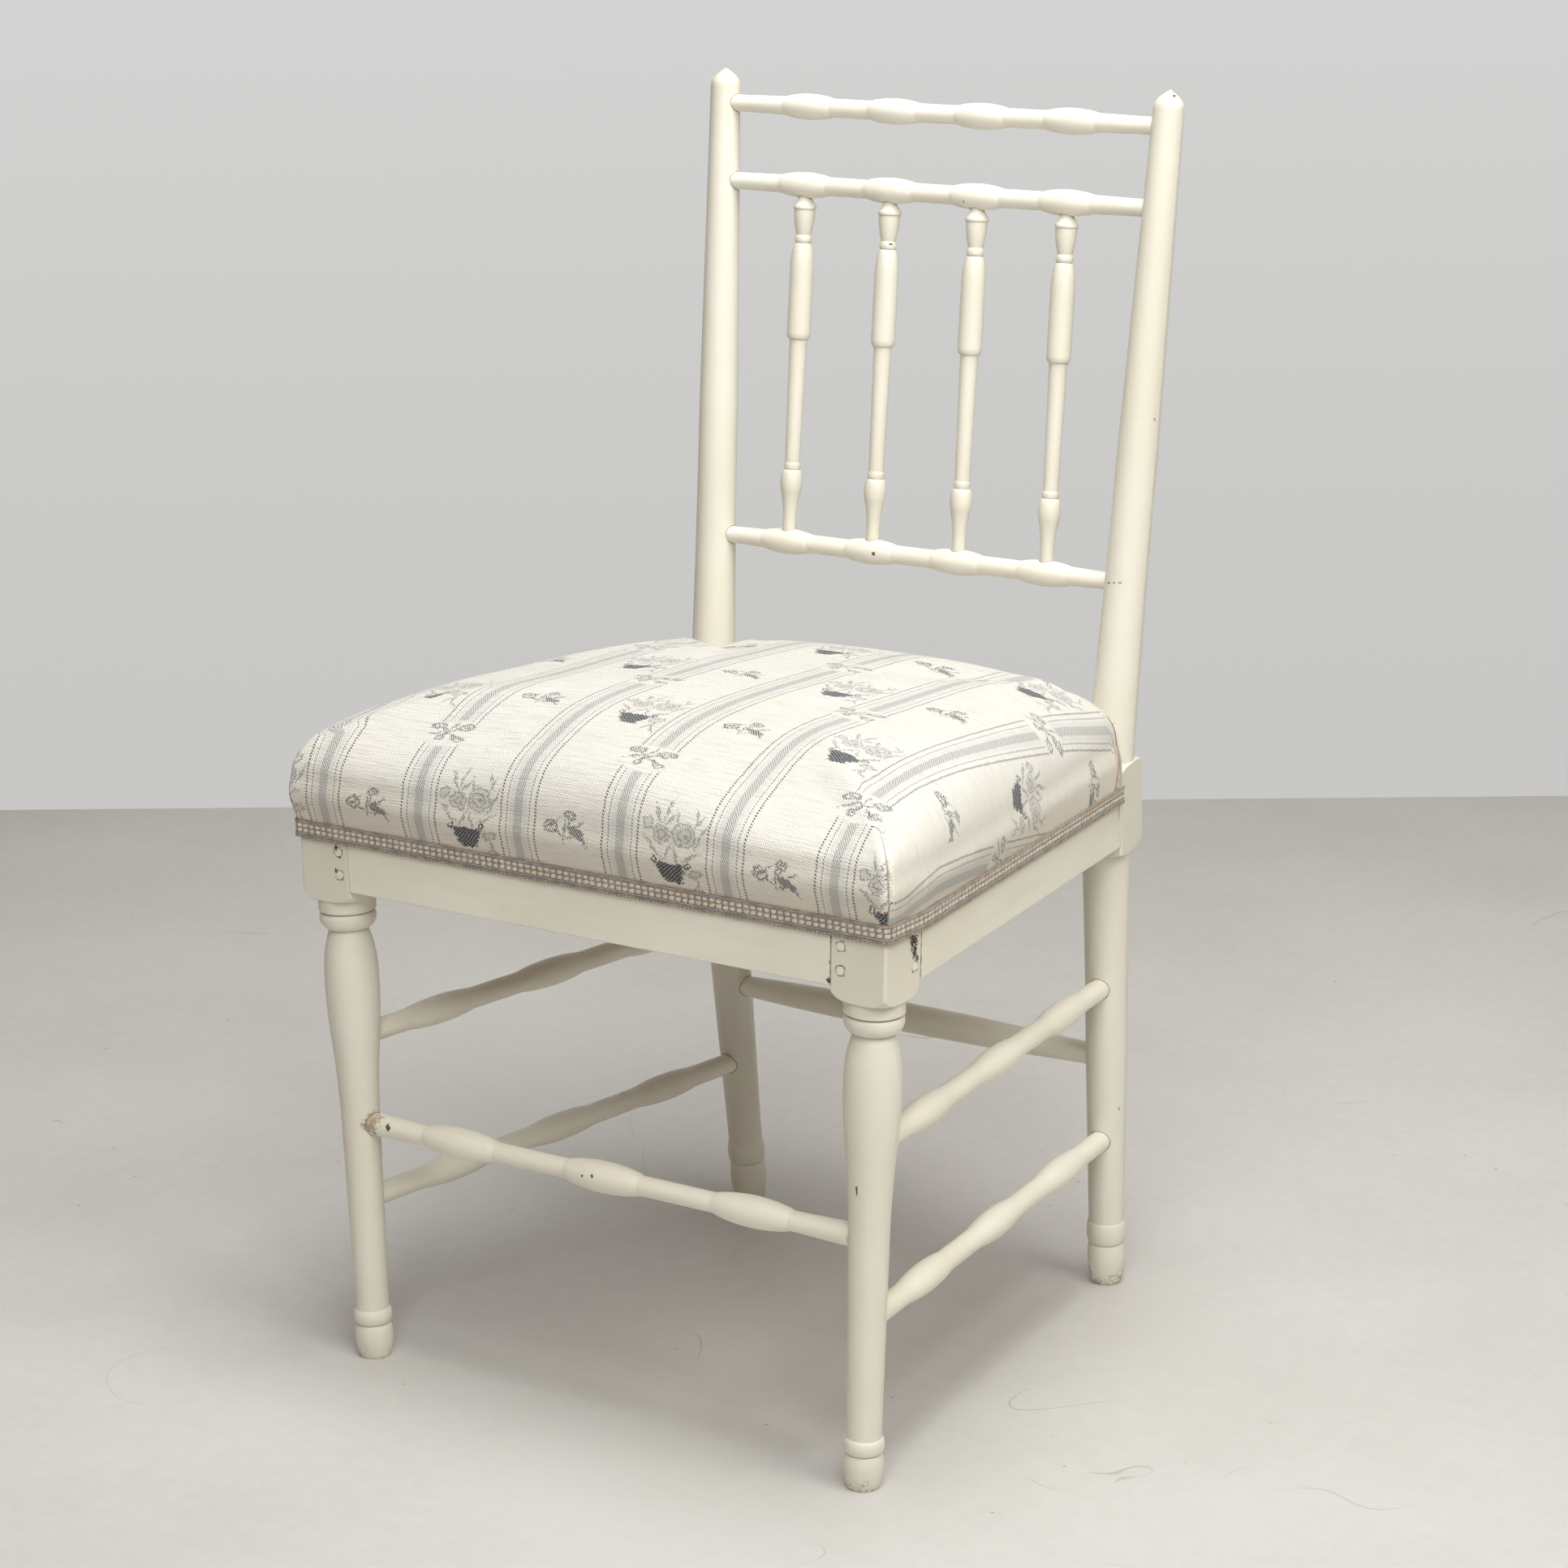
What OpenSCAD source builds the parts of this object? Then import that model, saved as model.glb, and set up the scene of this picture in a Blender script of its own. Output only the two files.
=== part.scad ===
// Gustavian dining chair: a turned, painted frame with an upholstered seat.
// The front is at -Y, the right-hand side at +X and the floor at Z = 0.
// Every right-hand piece is drawn once and mirrored for the left.

/* [Frame] */
// Height from the floor to the tips of the back posts
overall_height = 870; // [800:1:960]
// Front leg axis to back post axis, at the underside of the seat rails
seat_depth = 376; // [330:1:440]
// Distance between the front leg axes at the underside of the seat rails
front_spacing = 434; // [400:1:490]
// How far each front foot stands inside its axis at the seat rails
front_toe_in = 11; // [0:0.5:16]
// Distance between the back post axes at the underside of the seat rails
back_spacing = 340; // [330:1:390]
// How far each back foot stands inside its axis at the seat rails
back_toe_in = 10.5; // [0:0.5:16]
// How far each back foot stands behind its axis at the seat rails
back_foot_kick = 25; // [0:0.5:40]
// Backward lean of the back above the seat, in degrees
back_rake = 6; // [2:0.5:10]
// How far below the top of the seat rails the backward lean begins
kink_drop = 26; // [15:1:35]

/* [Seat rails] */
// Height of the underside of the seat rails above the floor
rail_underside = 347; // [330:1:380]
// Height of the seat rails
rail_height = 58; // [50:1:70]
// Thickness of the seat rails
rail_thickness = 24; // [20:0.5:26]
// Width of the square block at the top of a front leg
front_block = 42; // [40.5:0.5:46]
// Width of the square block on a back post
back_block = 38; // [37:0.5:42]
// How much further a back block reaches behind its post's axis than in front of it
back_block_rear = 2.5; // [0:0.5:4]
// Radius on the long corners of the blocks
block_corner = 2; // [0.5:0.5:3]
// Thickness of the seat rail tenons
tenon_thickness = 9; // [6:0.5:11]
// How far the front and side rail tenons enter their blocks
tenon_length = 22; // [15:0.5:24]
// How far the back rail's tenons enter their blocks
back_tenon_length = 16; // [12:0.5:17]
// Height left off a tenon at the top and the bottom of its rail
tenon_inset = 5; // [3:0.5:9]
// Diameter of the pegs through the front blocks
peg_diameter = 6; // [4:0.5:7]
// Length of a peg
peg_length = 27; // [20:1:30]
// Distance of the pegs from the rail's shoulder
peg_setback = 8; // [5:0.5:9]
// Height of the lower peg above the underside of the rail
lower_peg_rise = 11; // [8.5:0.5:13]
// Height of the upper peg above the underside of the rail
upper_peg_rise = 27; // [22:0.5:29]
// How far a peg stands out of its block
peg_stand = 0.3; // [0.1:0.1:1]
// Thickness of a corner brace
brace_thickness = 20; // [14:1:24]
// Height of a corner brace
brace_height = 32; // [24:1:40]

/* [Front leg turning, heights above the floor] */
// Radius of the front foot on the floor
front_foot_radius = 10.9; // [9:0.1:12]
// Radius of the swelling above the front foot
front_bulb_radius = 13.4; // [12.5:0.1:15]
// Height of that swelling
front_bulb_height = 16; // [12:0.5:19]
// Radius of the groove over the swelling
front_groove_radius = 11.1; // [10:0.1:12]
// Height of that groove
front_groove_height = 24.5; // [22:0.5:26]
// Radius of the ankle ring
front_ring_radius = 13.7; // [12.8:0.1:15]
// Height of the ankle ring
front_ring_height = 30; // [28:0.5:32]
// Radius of the leg just above the ankle ring
front_ankle_radius = 11.6; // [10.5:0.1:12.5]
// Height of the ankle
front_ankle_height = 35.5; // [34:0.5:40]

/* [Front leg turning, drops below the seat rails] */
// Radius of the leg where its long taper meets the vase
taper_radius = 13.4; // [12.5:0.1:14.5]
// Drop to the top of the long taper
taper_drop = 185; // [170:1:205]
// Radius of the vase on its flank
flank_radius = 16.3; // [15:0.1:17]
// Drop to the flank
flank_drop = 118; // [105:1:130]
// Largest radius of the vase
vase_radius = 18.95; // [17.5:0.05:20]
// Drop to the vase's largest radius
vase_drop = 70; // [60:1:80]
// Radius of the neck above the vase
neck_radius = 13.2; // [12:0.1:14.5]
// Drop to the neck
neck_drop = 32.5; // [30:0.5:38]
// Radius of the ring above the neck
neck_ring_radius = 19.7; // [18.6:0.1:20.5]
// Drop to the ring's largest radius
neck_ring_drop = 24.5; // [23:0.5:27]
// Radius of the groove between the ring and the collar
neck_groove_radius = 17.6; // [16.5:0.1:18.4]
// Drop to that groove
neck_groove_drop = 20.4; // [19:0.1:22]
// Radius of the collar under the block
collar_radius = 20; // [18.6:0.1:20.2]
// Drop to the collar's lower edge
collar_edge_drop = 19; // [15:0.1:18.9]
// Drop to the collar's top, where the block starts
collar_drop = 10; // [8:0.5:12]

/* [Back post turning] */
// Radius of the back foot on the floor
back_foot_radius = 10.5; // [9:0.1:12]
// Radius of the swelling above the back foot
back_bulb_radius = 14; // [13:0.1:15.5]
// Height of that swelling
back_bulb_height = 21; // [17:0.5:25]
// Radius of the groove over the swelling
back_groove_radius = 12.2; // [11:0.1:12.8]
// Height of that groove
back_groove_height = 32.5; // [29:0.5:35]
// Radius of the back ankle ring
back_ring_radius = 14.4; // [13.5:0.1:15.5]
// Height of the back ankle ring
back_ring_height = 41; // [37:0.5:45]
// Radius of the post just above its ankle ring
back_ankle_radius = 12.9; // [12:0.1:13.4]
// Height of the back ankle
back_ankle_height = 50; // [48:0.5:56]
// Radius of the lower post halfway up
back_shin_radius = 15.2; // [14:0.1:16.5]
// Height of that point
back_shin_height = 190; // [150:1:220]
// Radius of the post where it meets its block
post_block_radius = 17.8; // [16.5:0.1:18.2]
// How far the block's rounded shoulders reach along the post
post_shoulder = 8; // [6:0.5:10]
// Width of the flat left round the foot of the raked post
post_ledge = 0.7; // [0.5:0.1:1]
// Radius of the post under its tip
post_top_radius = 10.9; // [9.5:0.1:12.5]
// Length of the domed tip
post_tip_length = 12.5; // [9:0.5:16]

/* [Back rails and spindles] */
// Drop from the tips of the posts to the crest rail's axis
crest_drop = 25; // [22:0.5:40]
// Distance in height between the crest rail's and the middle rail's axes
crest_to_middle = 56; // [48:1:64]
// Height of the lower rail's axis above the level of the seat's crown
lower_rail_rise = 38.5; // [28:0.5:60]
// Radius of a back rail at its ends
back_rail_end_radius = 6.2; // [5.5:0.1:7]
// Radius of a back rail between its swellings
back_rail_radius = 6.8; // [6:0.1:7.5]
// Radius of the swellings on the back rails
back_rail_swelling_radius = 9.4; // [8.5:0.1:10.5]
// Length of one swelling on a back rail
back_rail_swelling_length = 41; // [34:1:46]
// Distance between neighbouring spindles
spindle_spacing = 73.5; // [66:0.5:76]
// Radius of a spindle where it enters the rails
spindle_end_radius = 4.9; // [4.2:0.1:5.2]
// Radius of the cap near the spindle's top
spindle_cap_radius = 8.4; // [7.9:0.1:9.2]
// Radius of the urn under the cap
spindle_urn_radius = 7.75; // [7:0.05:8]
// Radius of the groove under the urn
spindle_groove_radius = 5.2; // [4.5:0.1:5.8]
// Radius of the ring under that groove
spindle_ring_radius = 6.3; // [5.9:0.1:7]
// Radius of the spindle's long upper part
spindle_upper_radius = 8.7; // [8:0.1:9.5]
// Radius of the spindle's lower part at its top
spindle_shaft_radius = 6.5; // [6:0.1:7.5]
// Radius of the spindle's lower part at its foot
spindle_ankle_radius = 5.5; // [5:0.1:5.9]
// Radius of the bead over the bulb
spindle_bead_radius = 6.1; // [5.7:0.1:6.6]
// Radius of the bulb near the spindle's bottom
spindle_bulb_radius = 8.1; // [7.8:0.1:9]

/* [Stretchers] */
// Height of the front stretcher's axis
front_stretcher_height = 173.5; // [165:0.5:185]
// Height of the back stretcher's axis
back_stretcher_height = 178.5; // [165:0.5:190]
// Height of the upper side stretchers' axes
upper_stretcher_height = 235; // [222:0.5:250]
// Height of the lower side stretchers' axes
lower_stretcher_height = 116; // [105:0.5:130]
// Radius of the front stretcher at its ends
front_stretcher_end_radius = 8; // [7:0.1:9]
// Radius of the front stretcher between its swellings
front_stretcher_radius = 6.9; // [6.2:0.1:7.5]
// Radius of the front stretcher's swellings
front_stretcher_swelling_radius = 10.8; // [9.5:0.1:12]
// Distance between the front stretcher's swellings
front_stretcher_pitch = 121.5; // [105:0.5:130]
// Radius of a side stretcher outside its swellings
side_stretcher_radius = 7.7; // [7:0.1:8.5]
// Radius of a side stretcher's swellings
side_stretcher_swelling_radius = 10.1; // [9:0.1:11]
// Distance between a side stretcher's swellings
side_stretcher_pitch = 112.5; // [90:0.5:118]
// Length of one swelling on a stretcher
stretcher_swelling_length = 62; // [50:1:70]
// Radius of the back stretcher at its ends
back_stretcher_end_radius = 8; // [7:0.1:9]
// Radius of the back stretcher in the middle
back_stretcher_radius = 11; // [9.5:0.1:12]

/* [Seat] */
// Height of the seat's crown above the rails
seat_crown = 86; // [65:1:95]
// Share by which the crown's rise falls towards the back
crown_fall = 0.26; // [0:0.02:0.4]
// Thickness of the seat cover
cover_thickness = 1.2; // [1:0.1:2]
// How far the cover reaches down over the rails
cover_overlap = 21; // [18:0.5:24]
// How far the seat's sides swell out
side_swell = 6.8; // [1:0.2:8]
// Height above the rails at which the sides turn in
side_height = 20; // [14:1:26]
// Width of a webbing strip
webbing_width = 50; // [40:1:55]
// Thickness of the webbing
webbing_thickness = 1.5; // [1:0.1:2]
// Distance between the lengthwise webbing strips
webbing_pitch = 78; // [72:1:80]
// Distance between the crosswise webbing strips
cross_webbing_pitch = 105; // [85:1:112]
// Thickness of the hessian
hessian_thickness = 1; // [0.6:0.1:1.5]
// Height of the gimp braid
gimp_height = 14; // [11:0.5:16]
// Thickness of the gimp braid
gimp_thickness = 1.6; // [1.4:0.1:2.4]
// How far the gimp braid's top lies below the top of the rails
gimp_drop = 11; // [8:0.5:13]

/* [Fits] */
// Gap round a turned end in its socket
socket_gap = 0.3; // [0.2:0.05:0.4]
// Gap between a rail tenon and its mortise
mortise_gap = 0.15; // [0.1:0.05:0.3]
// Gap between the upholstery and the wood
cloth_gap = 0.3; // [0.2:0.1:0.5]
// Room between the seat and the back posts
post_room = 2.5; // [1.5:0.5:5]

/* [Node] */
// Piece to draw

/* [Hidden] */
// One overrun for every cut, and full circles taken as true ones
overrun = 100;
$fn = 72;

// Shapes of the line from one station of a turned outline to the next
STRAIGHT = 1;
GATHER = 2;
LATE_GATHER = 2.6;
SETTLE = -2;
ROUND_OUT = 100;
ROUND_IN = -100;
turned_steps = 6;
swelling_steps = 12;
swelling_fullness = 0.75;

// Leans and axes
rail_top = rail_underside + rail_height;
rail_middle = rail_underside + rail_height / 2;
front_slope = front_toe_in / rail_underside;
back_slope = back_toe_in / rail_underside;
kick_slope = back_foot_kick / rail_underside;
front_lean = atan(front_slope);
kick_angle = atan(kick_slope);
lower_lean = atan(back_slope * cos(kick_angle));
upper_lean = atan(back_slope * cos(back_rake));

// The origin lies on the floor under the middle of the chair's whole depth
front_reach = seat_depth / 2 + front_block / 2 + cloth_gap + cover_thickness + side_swell;
kink_height = rail_top - kink_drop;
tip_rise = overall_height - post_tip_length - kink_height;
back_reach = seat_depth / 2 - kick_slope * (rail_height - kink_drop) + tip_rise * tan(back_rake)
    + post_top_radius * cos(back_rake);
depth_shift = (front_reach - back_reach) / 2;
front_y = depth_shift - seat_depth / 2;
back_y = depth_shift + seat_depth / 2;

function front_axis(z) = [front_spacing / 2 - front_slope * (rail_underside - z), front_y, z];
function lower_post_axis(z) = [
    back_spacing / 2 - back_slope * (rail_underside - z),
    back_y + kick_slope * (rail_underside - z), z];
kink = lower_post_axis(kink_height);
function upper_post_axis(z) = [
    kink.x + back_slope * (z - kink_height), kink.y + tan(back_rake) * (z - kink_height), z];
function mirrored(p) = [-p.x, p.y, p.z];

// Stretch of heights into lengths along the leaning axes
front_stretch = 1 / cos(front_lean);
lower_stretch = 1 / cos(kick_angle) / cos(lower_lean);
upper_stretch = 1 / cos(back_rake) / cos(upper_lean);

// Splay of the side rails, whose outer faces run flush from block to block
flush_corner = [front_axis(rail_middle).x + front_block / 2, front_y + front_block / 2];
post_middle = [lower_post_axis(rail_middle).x, lower_post_axis(rail_middle).y];
flush_run = flush_corner - post_middle;
splay = atan2(flush_run.y, flush_run.x) + acos(back_block / 2 / norm(flush_run));

// Small sizes of the legs and of the rails in the back
foot_trim = 2;
post_root = 5;
crest_height = overall_height - crest_drop;
middle_height = crest_height - crest_to_middle;
lower_height = rail_top + seat_crown + lower_rail_rise;
spindle_count = 4;
stretcher_swellings = 3;

// A spindle's turning, in shares of its length between the two rails
spindle_length = (middle_height - lower_height) / cos(back_rake);
spindle_calf_radius = 7.5;
foot_share = 0.027;
calf_share = 0.118;
bulb_share = 0.143;
bulb_top_share = 0.182;
bead_share = 0.1925;
ankle_share = 0.203;
step_share = 0.576;
step_top_share = 0.597;
shoulder_share = 0.787;
ring_base_share = 0.867;
ring_share = 0.877;
groove_share = 0.89;
urn_share = 0.967;
cap_base_share = 0.9686;
cap_share = 0.9752;

// Small sizes of the seat
webbing_front_count = 4;
webbing_side_count = 3;
webbing_setback = 5;
webbing_ramp = 9;
webbing_ease = 1;
hessian_inset = 8;
brace_room = 3;
hem_step = 1;
post_corner = 4;
gimp_cord = 1.8;
gimp_valley = 0.6;
gimp_room = 1;

// Points of a turned outline. A station is [height, radius, shape], where the shape
// says how the line runs from that station to the next one.
function bend(shape, t) =
    shape == ROUND_OUT ? [1 - cos(90 * t), sin(90 * t)] :
    shape == ROUND_IN ? [sin(90 * t), 1 - cos(90 * t)] :
    shape > 0 ? [t, pow(t, shape)] : [t, 1 - pow(1 - t, -shape)];

function turned_outline(stations) = concat(
    [for (i = [0 : len(stations) - 2])
        let (a = stations[i], b = stations[i + 1], n = a[2] == STRAIGHT ? 1 : turned_steps)
            for (k = [0 : n - 1])
                let (m = bend(a[2], k / n))
                    [a[1] + (b[1] - a[1]) * m[1], a[0] + (b[0] - a[0]) * m[0]]],
    [[stations[len(stations) - 1][1], stations[len(stations) - 1][0]]]);

module turned(stations) {
    points = turned_outline(stations);
    rotate_extrude()
        polygon(concat([[0, points[0].y]], points, [[0, points[len(points) - 1].y]]));
}

// Rod with equal swellings, centred on half its length
function swelling(middle, length, radius, full_radius) = [
    for (k = [0 : swelling_steps])
        [radius + (full_radius - radius) * pow(sin(180 * k / swelling_steps), swelling_fullness),
         middle + length * (k / swelling_steps - 0.5)]
];

module swelled_rod(length, end_radius, radius, full_radius, swelling_length, pitch, count, grip) {
    points = concat(
        [[0, 0], [end_radius, 0], [end_radius, grip]],
        [for (i = [0 : count - 1])
            for (p = swelling(length / 2 + (i - (count - 1) / 2) * pitch,
                              swelling_length, radius, full_radius)) p],
        [[end_radius, length - grip], [end_radius, length], [0, length]]);
    rotate_extrude() polygon(points);
}

// Draws for the right-hand side, or mirrored for the left
module sided(side) {
    if (side > 0) children();
    else mirror([1, 0, 0]) children();
}

// Frame at point a with Z towards point b
module between(a, b) {
    d = b - a;
    translate(a) rotate([0, acos(d.z / norm(d)), atan2(d.y, d.x)]) children();
}

module front_leg_frame() {
    translate(front_axis(0)) rotate([0, front_lean, 0]) children();
}

module lower_post_frame() {
    translate(lower_post_axis(0)) rotate([kick_angle, 0, 0]) rotate([0, lower_lean, 0]) children();
}

module upper_post_frame() {
    translate(kink) rotate([-back_rake, 0, 0]) rotate([0, upper_lean, 0]) children();
}

module side_rail_frame() {
    translate([flush_corner.x, flush_corner.y, rail_middle])
        rotate([0, 0, splay]) rotate([0, front_lean, 0]) children();
}

module back_rail_frame() {
    translate([0, lower_post_axis(0).y, 0]) rotate([kick_angle, 0, 0]) children();
}

// Level layer of the rails, less an inset at the top and the bottom
module rail_layer(inset) {
    reach = seat_depth + front_spacing;
    translate([-reach, -reach, rail_underside + inset])
        cube([2 * reach, 2 * reach, rail_height - 2 * inset]);
}

// Square block, which may reach further to the rear, with rounded long corners
module block_prism(width, rear, bottom, top) {
    side = width / 2 - block_corner;
    translate([0, 0, bottom]) linear_extrude(top - bottom) union() {
        translate([-width / 2, -side]) square([width, 2 * side + rear]);
        translate([-side, -width / 2]) square([2 * side, width + rear]);
        for (x = [-side, side], y = [-side, side + rear]) translate([x, y]) circle(block_corner);
    }
}

// Everything past a block's face, which ends the rails and their tenons
module past_face(depth) {
    translate([depth, -2 * overrun, rail_underside - overrun])
        cube([2 * overrun, 4 * overrun, rail_height + 2 * overrun]);
}

module past_front_block_inside(depth) {
    front_leg_frame() past_face(depth - front_block / 2);
}

module past_front_block_back(depth) {
    front_leg_frame() rotate([0, 0, -90]) past_face(depth - front_block / 2);
}

module past_back_block_front(depth) {
    lower_post_frame() rotate([0, 0, splay + 90]) past_face(depth - back_block / 2);
}

module past_back_block_inside(depth) {
    lower_post_frame() rotate([0, 0, splay]) past_face(depth - back_block / 2);
}

// Seat rails, each as a body and a tenon bar, with the gap round it for a mortise
module front_rail_bar(width, inset, depth, gap) {
    reach = front_spacing / 2 + front_block;
    difference() {
        translate([-reach, front_y - front_block / 2 + rail_thickness / 2 - width / 2 - gap,
                   rail_underside + inset - gap])
            cube([2 * reach, width + 2 * gap, rail_height - 2 * inset + 2 * gap]);
        for (side = [-1, 1]) sided(side) past_front_block_inside(depth + gap);
    }
}

module side_rail_bar(width, inset, depth, gap) {
    reach = seat_depth + front_block;
    difference() {
        intersection() {
            side_rail_frame()
                translate([-rail_thickness / 2 - width / 2 - gap, -front_block, -rail_height])
                    cube([width + 2 * gap, reach, 2 * rail_height]);
            rail_layer(inset - gap);
        }
        past_front_block_back(depth + gap);
        past_back_block_front(depth + gap);
    }
}

back_rail_face = back_block / 2 * (cos(splay) - sin(splay));

module back_rail_bar(width, inset, depth, gap) {
    reach = back_spacing / 2 + back_block;
    difference() {
        intersection() {
            back_rail_frame()
                translate([-reach, back_rail_face - rail_thickness / 2 - width / 2 - gap,
                           rail_underside - rail_height])
                    cube([2 * reach, width + 2 * gap, 3 * rail_height]);
            rail_layer(inset - gap);
        }
        for (side = [-1, 1]) sided(side) past_back_block_inside(depth + gap);
    }
}

// Pegs through the front block into the front rail's and the side rail's tenons
module front_peg(rise, gap, stand) {
    translate([front_axis(rail_underside + rise).x - front_block / 2 + peg_setback,
               front_y - front_block / 2 - stand, rail_underside + rise])
        rotate([-90, 0, 0]) cylinder(r = peg_diameter / 2 + gap, h = peg_length + stand);
}

module side_peg(rise, gap, stand) {
    front_leg_frame()
        translate([front_block / 2 + stand, front_block / 2 - peg_setback,
                   (rail_underside + rise) * front_stretch])
            rotate([0, -90, 0]) cylinder(r = peg_diameter / 2 + gap, h = peg_length + stand);
}

module front_pegs(gap, stand) {
    for (rise = [lower_peg_rise, upper_peg_rise]) front_peg(rise, gap, stand);
}

module side_pegs(gap, stand) {
    for (rise = [lower_peg_rise, upper_peg_rise]) side_peg(rise, gap, stand);
}

// Ends of the stretchers, and the sockets bored for them from an axis outwards
front_stretcher_end = front_axis(front_stretcher_height);
back_stretcher_end = lower_post_axis(back_stretcher_height);

module socket(from, towards, radius) {
    between(from, towards) cylinder(r = radius + socket_gap, h = front_block);
}

module side_stretcher_sockets(at_front) {
    for (z = [upper_stretcher_height, lower_stretcher_height]) {
        a = front_axis(z);
        b = lower_post_axis(z);
        if (at_front) socket(a, b, side_stretcher_radius);
        else socket(b, a, side_stretcher_radius);
    }
}

// Front leg: foot, ankle ring, long taper, vase, ring, collar and square block
module right_front_leg() {
    up = front_stretch;
    collar_top = (rail_underside - collar_drop) * up;
    dome_radius = front_block / sqrt(2);
    difference() {
        union() {
            front_leg_frame() turned([
                [-foot_trim, front_foot_radius, STRAIGHT],
                [0, front_foot_radius, SETTLE],
                [front_bulb_height * up, front_bulb_radius, ROUND_IN],
                [front_groove_height * up, front_groove_radius, ROUND_OUT],
                [front_ring_height * up, front_ring_radius, ROUND_IN],
                [front_ankle_height * up, front_ankle_radius, STRAIGHT],
                [(rail_underside - taper_drop) * up, taper_radius, GATHER],
                [(rail_underside - flank_drop) * up, flank_radius, SETTLE],
                [(rail_underside - vase_drop) * up, vase_radius, LATE_GATHER],
                [(rail_underside - neck_drop) * up, neck_radius, ROUND_OUT],
                [(rail_underside - neck_ring_drop) * up, neck_ring_radius, ROUND_IN],
                [(rail_underside - neck_groove_drop) * up, neck_groove_radius, STRAIGHT],
                [(rail_underside - collar_edge_drop) * up, collar_radius, STRAIGHT],
                [rail_underside * up, collar_radius, STRAIGHT]
            ]);
            intersection() {
                front_leg_frame() block_prism(front_block, 0, collar_top, rail_top + overrun);
                front_leg_frame() turned([
                    [collar_top, collar_radius, ROUND_OUT],
                    [rail_underside * up, dome_radius, STRAIGHT],
                    [rail_top + overrun, dome_radius, STRAIGHT]
                ]);
            }
        }
        translate([0, front_y - overrun, -overrun]) cube([3 * overrun, 2 * overrun, overrun]);
        translate([0, front_y - overrun, rail_top]) cube([3 * overrun, 2 * overrun, 2 * overrun]);
        front_rail_bar(tenon_thickness, tenon_inset, tenon_length, mortise_gap);
        side_rail_bar(tenon_thickness, tenon_inset, tenon_length, mortise_gap);
        front_pegs(socket_gap, overrun);
        side_pegs(socket_gap, overrun);
        socket(front_stretcher_end, mirrored(front_stretcher_end), front_stretcher_end_radius);
        side_stretcher_sockets(true);
    }
}

// Back post: foot, ankle ring and lower leg on one axis with the block, which is
// turned to face along the side rail, then the raked upper post with its domed tip
module right_back_post() {
    up = lower_stretch;
    block_top = rail_top * up;
    block_bottom = (rail_underside - post_shoulder) * up;
    dome_radius = norm([back_block / 2, back_block / 2 + back_block_rear]);
    tip = (overall_height - kink_height) * upper_stretch;
    difference() {
        union() {
            lower_post_frame() turned([
                [-foot_trim, back_foot_radius, STRAIGHT],
                [0, back_foot_radius, SETTLE],
                [back_bulb_height * up, back_bulb_radius, ROUND_IN],
                [back_groove_height * up, back_groove_radius, ROUND_OUT],
                [back_ring_height * up, back_ring_radius, ROUND_IN],
                [back_ankle_height * up, back_ankle_radius, STRAIGHT],
                [back_shin_height * up, back_shin_radius, GATHER],
                [block_bottom, post_block_radius, STRAIGHT],
                [block_top, post_block_radius, STRAIGHT]
            ]);
            intersection() {
                lower_post_frame() rotate([0, 0, splay])
                    block_prism(back_block, back_block_rear, block_bottom, block_top);
                lower_post_frame() turned([
                    [block_bottom, post_block_radius, ROUND_OUT],
                    [block_bottom + post_shoulder, dome_radius, STRAIGHT],
                    [block_top - post_shoulder, dome_radius, ROUND_IN],
                    [block_top, post_block_radius + post_ledge, STRAIGHT]
                ]);
            }
            upper_post_frame() turned([
                [-post_root, post_block_radius, STRAIGHT],
                [0, post_block_radius, SETTLE],
                [tip / 2, (post_block_radius + post_top_radius) / 2, STRAIGHT],
                [tip - post_tip_length, post_top_radius, GATHER],
                [tip, 0, STRAIGHT]
            ]);
        }
        translate([0, back_y - overrun, -overrun]) cube([3 * overrun, 3 * overrun, overrun]);
        side_rail_bar(tenon_thickness, tenon_inset, tenon_length, mortise_gap);
        back_rail_bar(tenon_thickness, tenon_inset, back_tenon_length, mortise_gap);
        socket(back_stretcher_end, mirrored(back_stretcher_end), back_stretcher_end_radius);
        side_stretcher_sockets(false);
        for (z = [crest_height, middle_height, lower_height])
            socket(upper_post_axis(z), mirrored(upper_post_axis(z)), back_rail_end_radius);
    }
}

module front_leg_left() { color("ivory") sided(-1) right_front_leg(); }
module front_leg_right() { color("ivory") sided(1) right_front_leg(); }
module back_post_left() { color("beige") sided(-1) right_back_post(); }
module back_post_right() { color("beige") sided(1) right_back_post(); }

module front_rail() {
    color("wheat") difference() {
        union() {
            front_rail_bar(rail_thickness, 0, 0, 0);
            front_rail_bar(tenon_thickness, tenon_inset, tenon_length, 0);
        }
        for (side = [-1, 1]) sided(side) front_pegs(socket_gap, overrun);
    }
}

module back_rail() {
    color("wheat") union() {
        back_rail_bar(rail_thickness, 0, 0, 0);
        back_rail_bar(tenon_thickness, tenon_inset, back_tenon_length, 0);
    }
}

module right_side_rail() {
    difference() {
        union() {
            side_rail_bar(rail_thickness, 0, 0, 0);
            side_rail_bar(tenon_thickness, tenon_inset, tenon_length, 0);
        }
        side_pegs(socket_gap, overrun);
    }
}

module side_rail_left() { color("wheat") sided(-1) right_side_rail(); }
module side_rail_right() { color("wheat") sided(1) right_side_rail(); }

module front_rail_pegs() {
    color("tan") for (side = [-1, 1]) sided(side) front_pegs(0, peg_stand);
}

module side_rail_pegs() {
    color("tan") for (side = [-1, 1]) sided(side) side_pegs(0, peg_stand);
}

// Back rails, swelled where the spindles enter, and bored for them
function spindle_x(i) = (i - (spindle_count + 1) / 2) * spindle_spacing;

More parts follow.
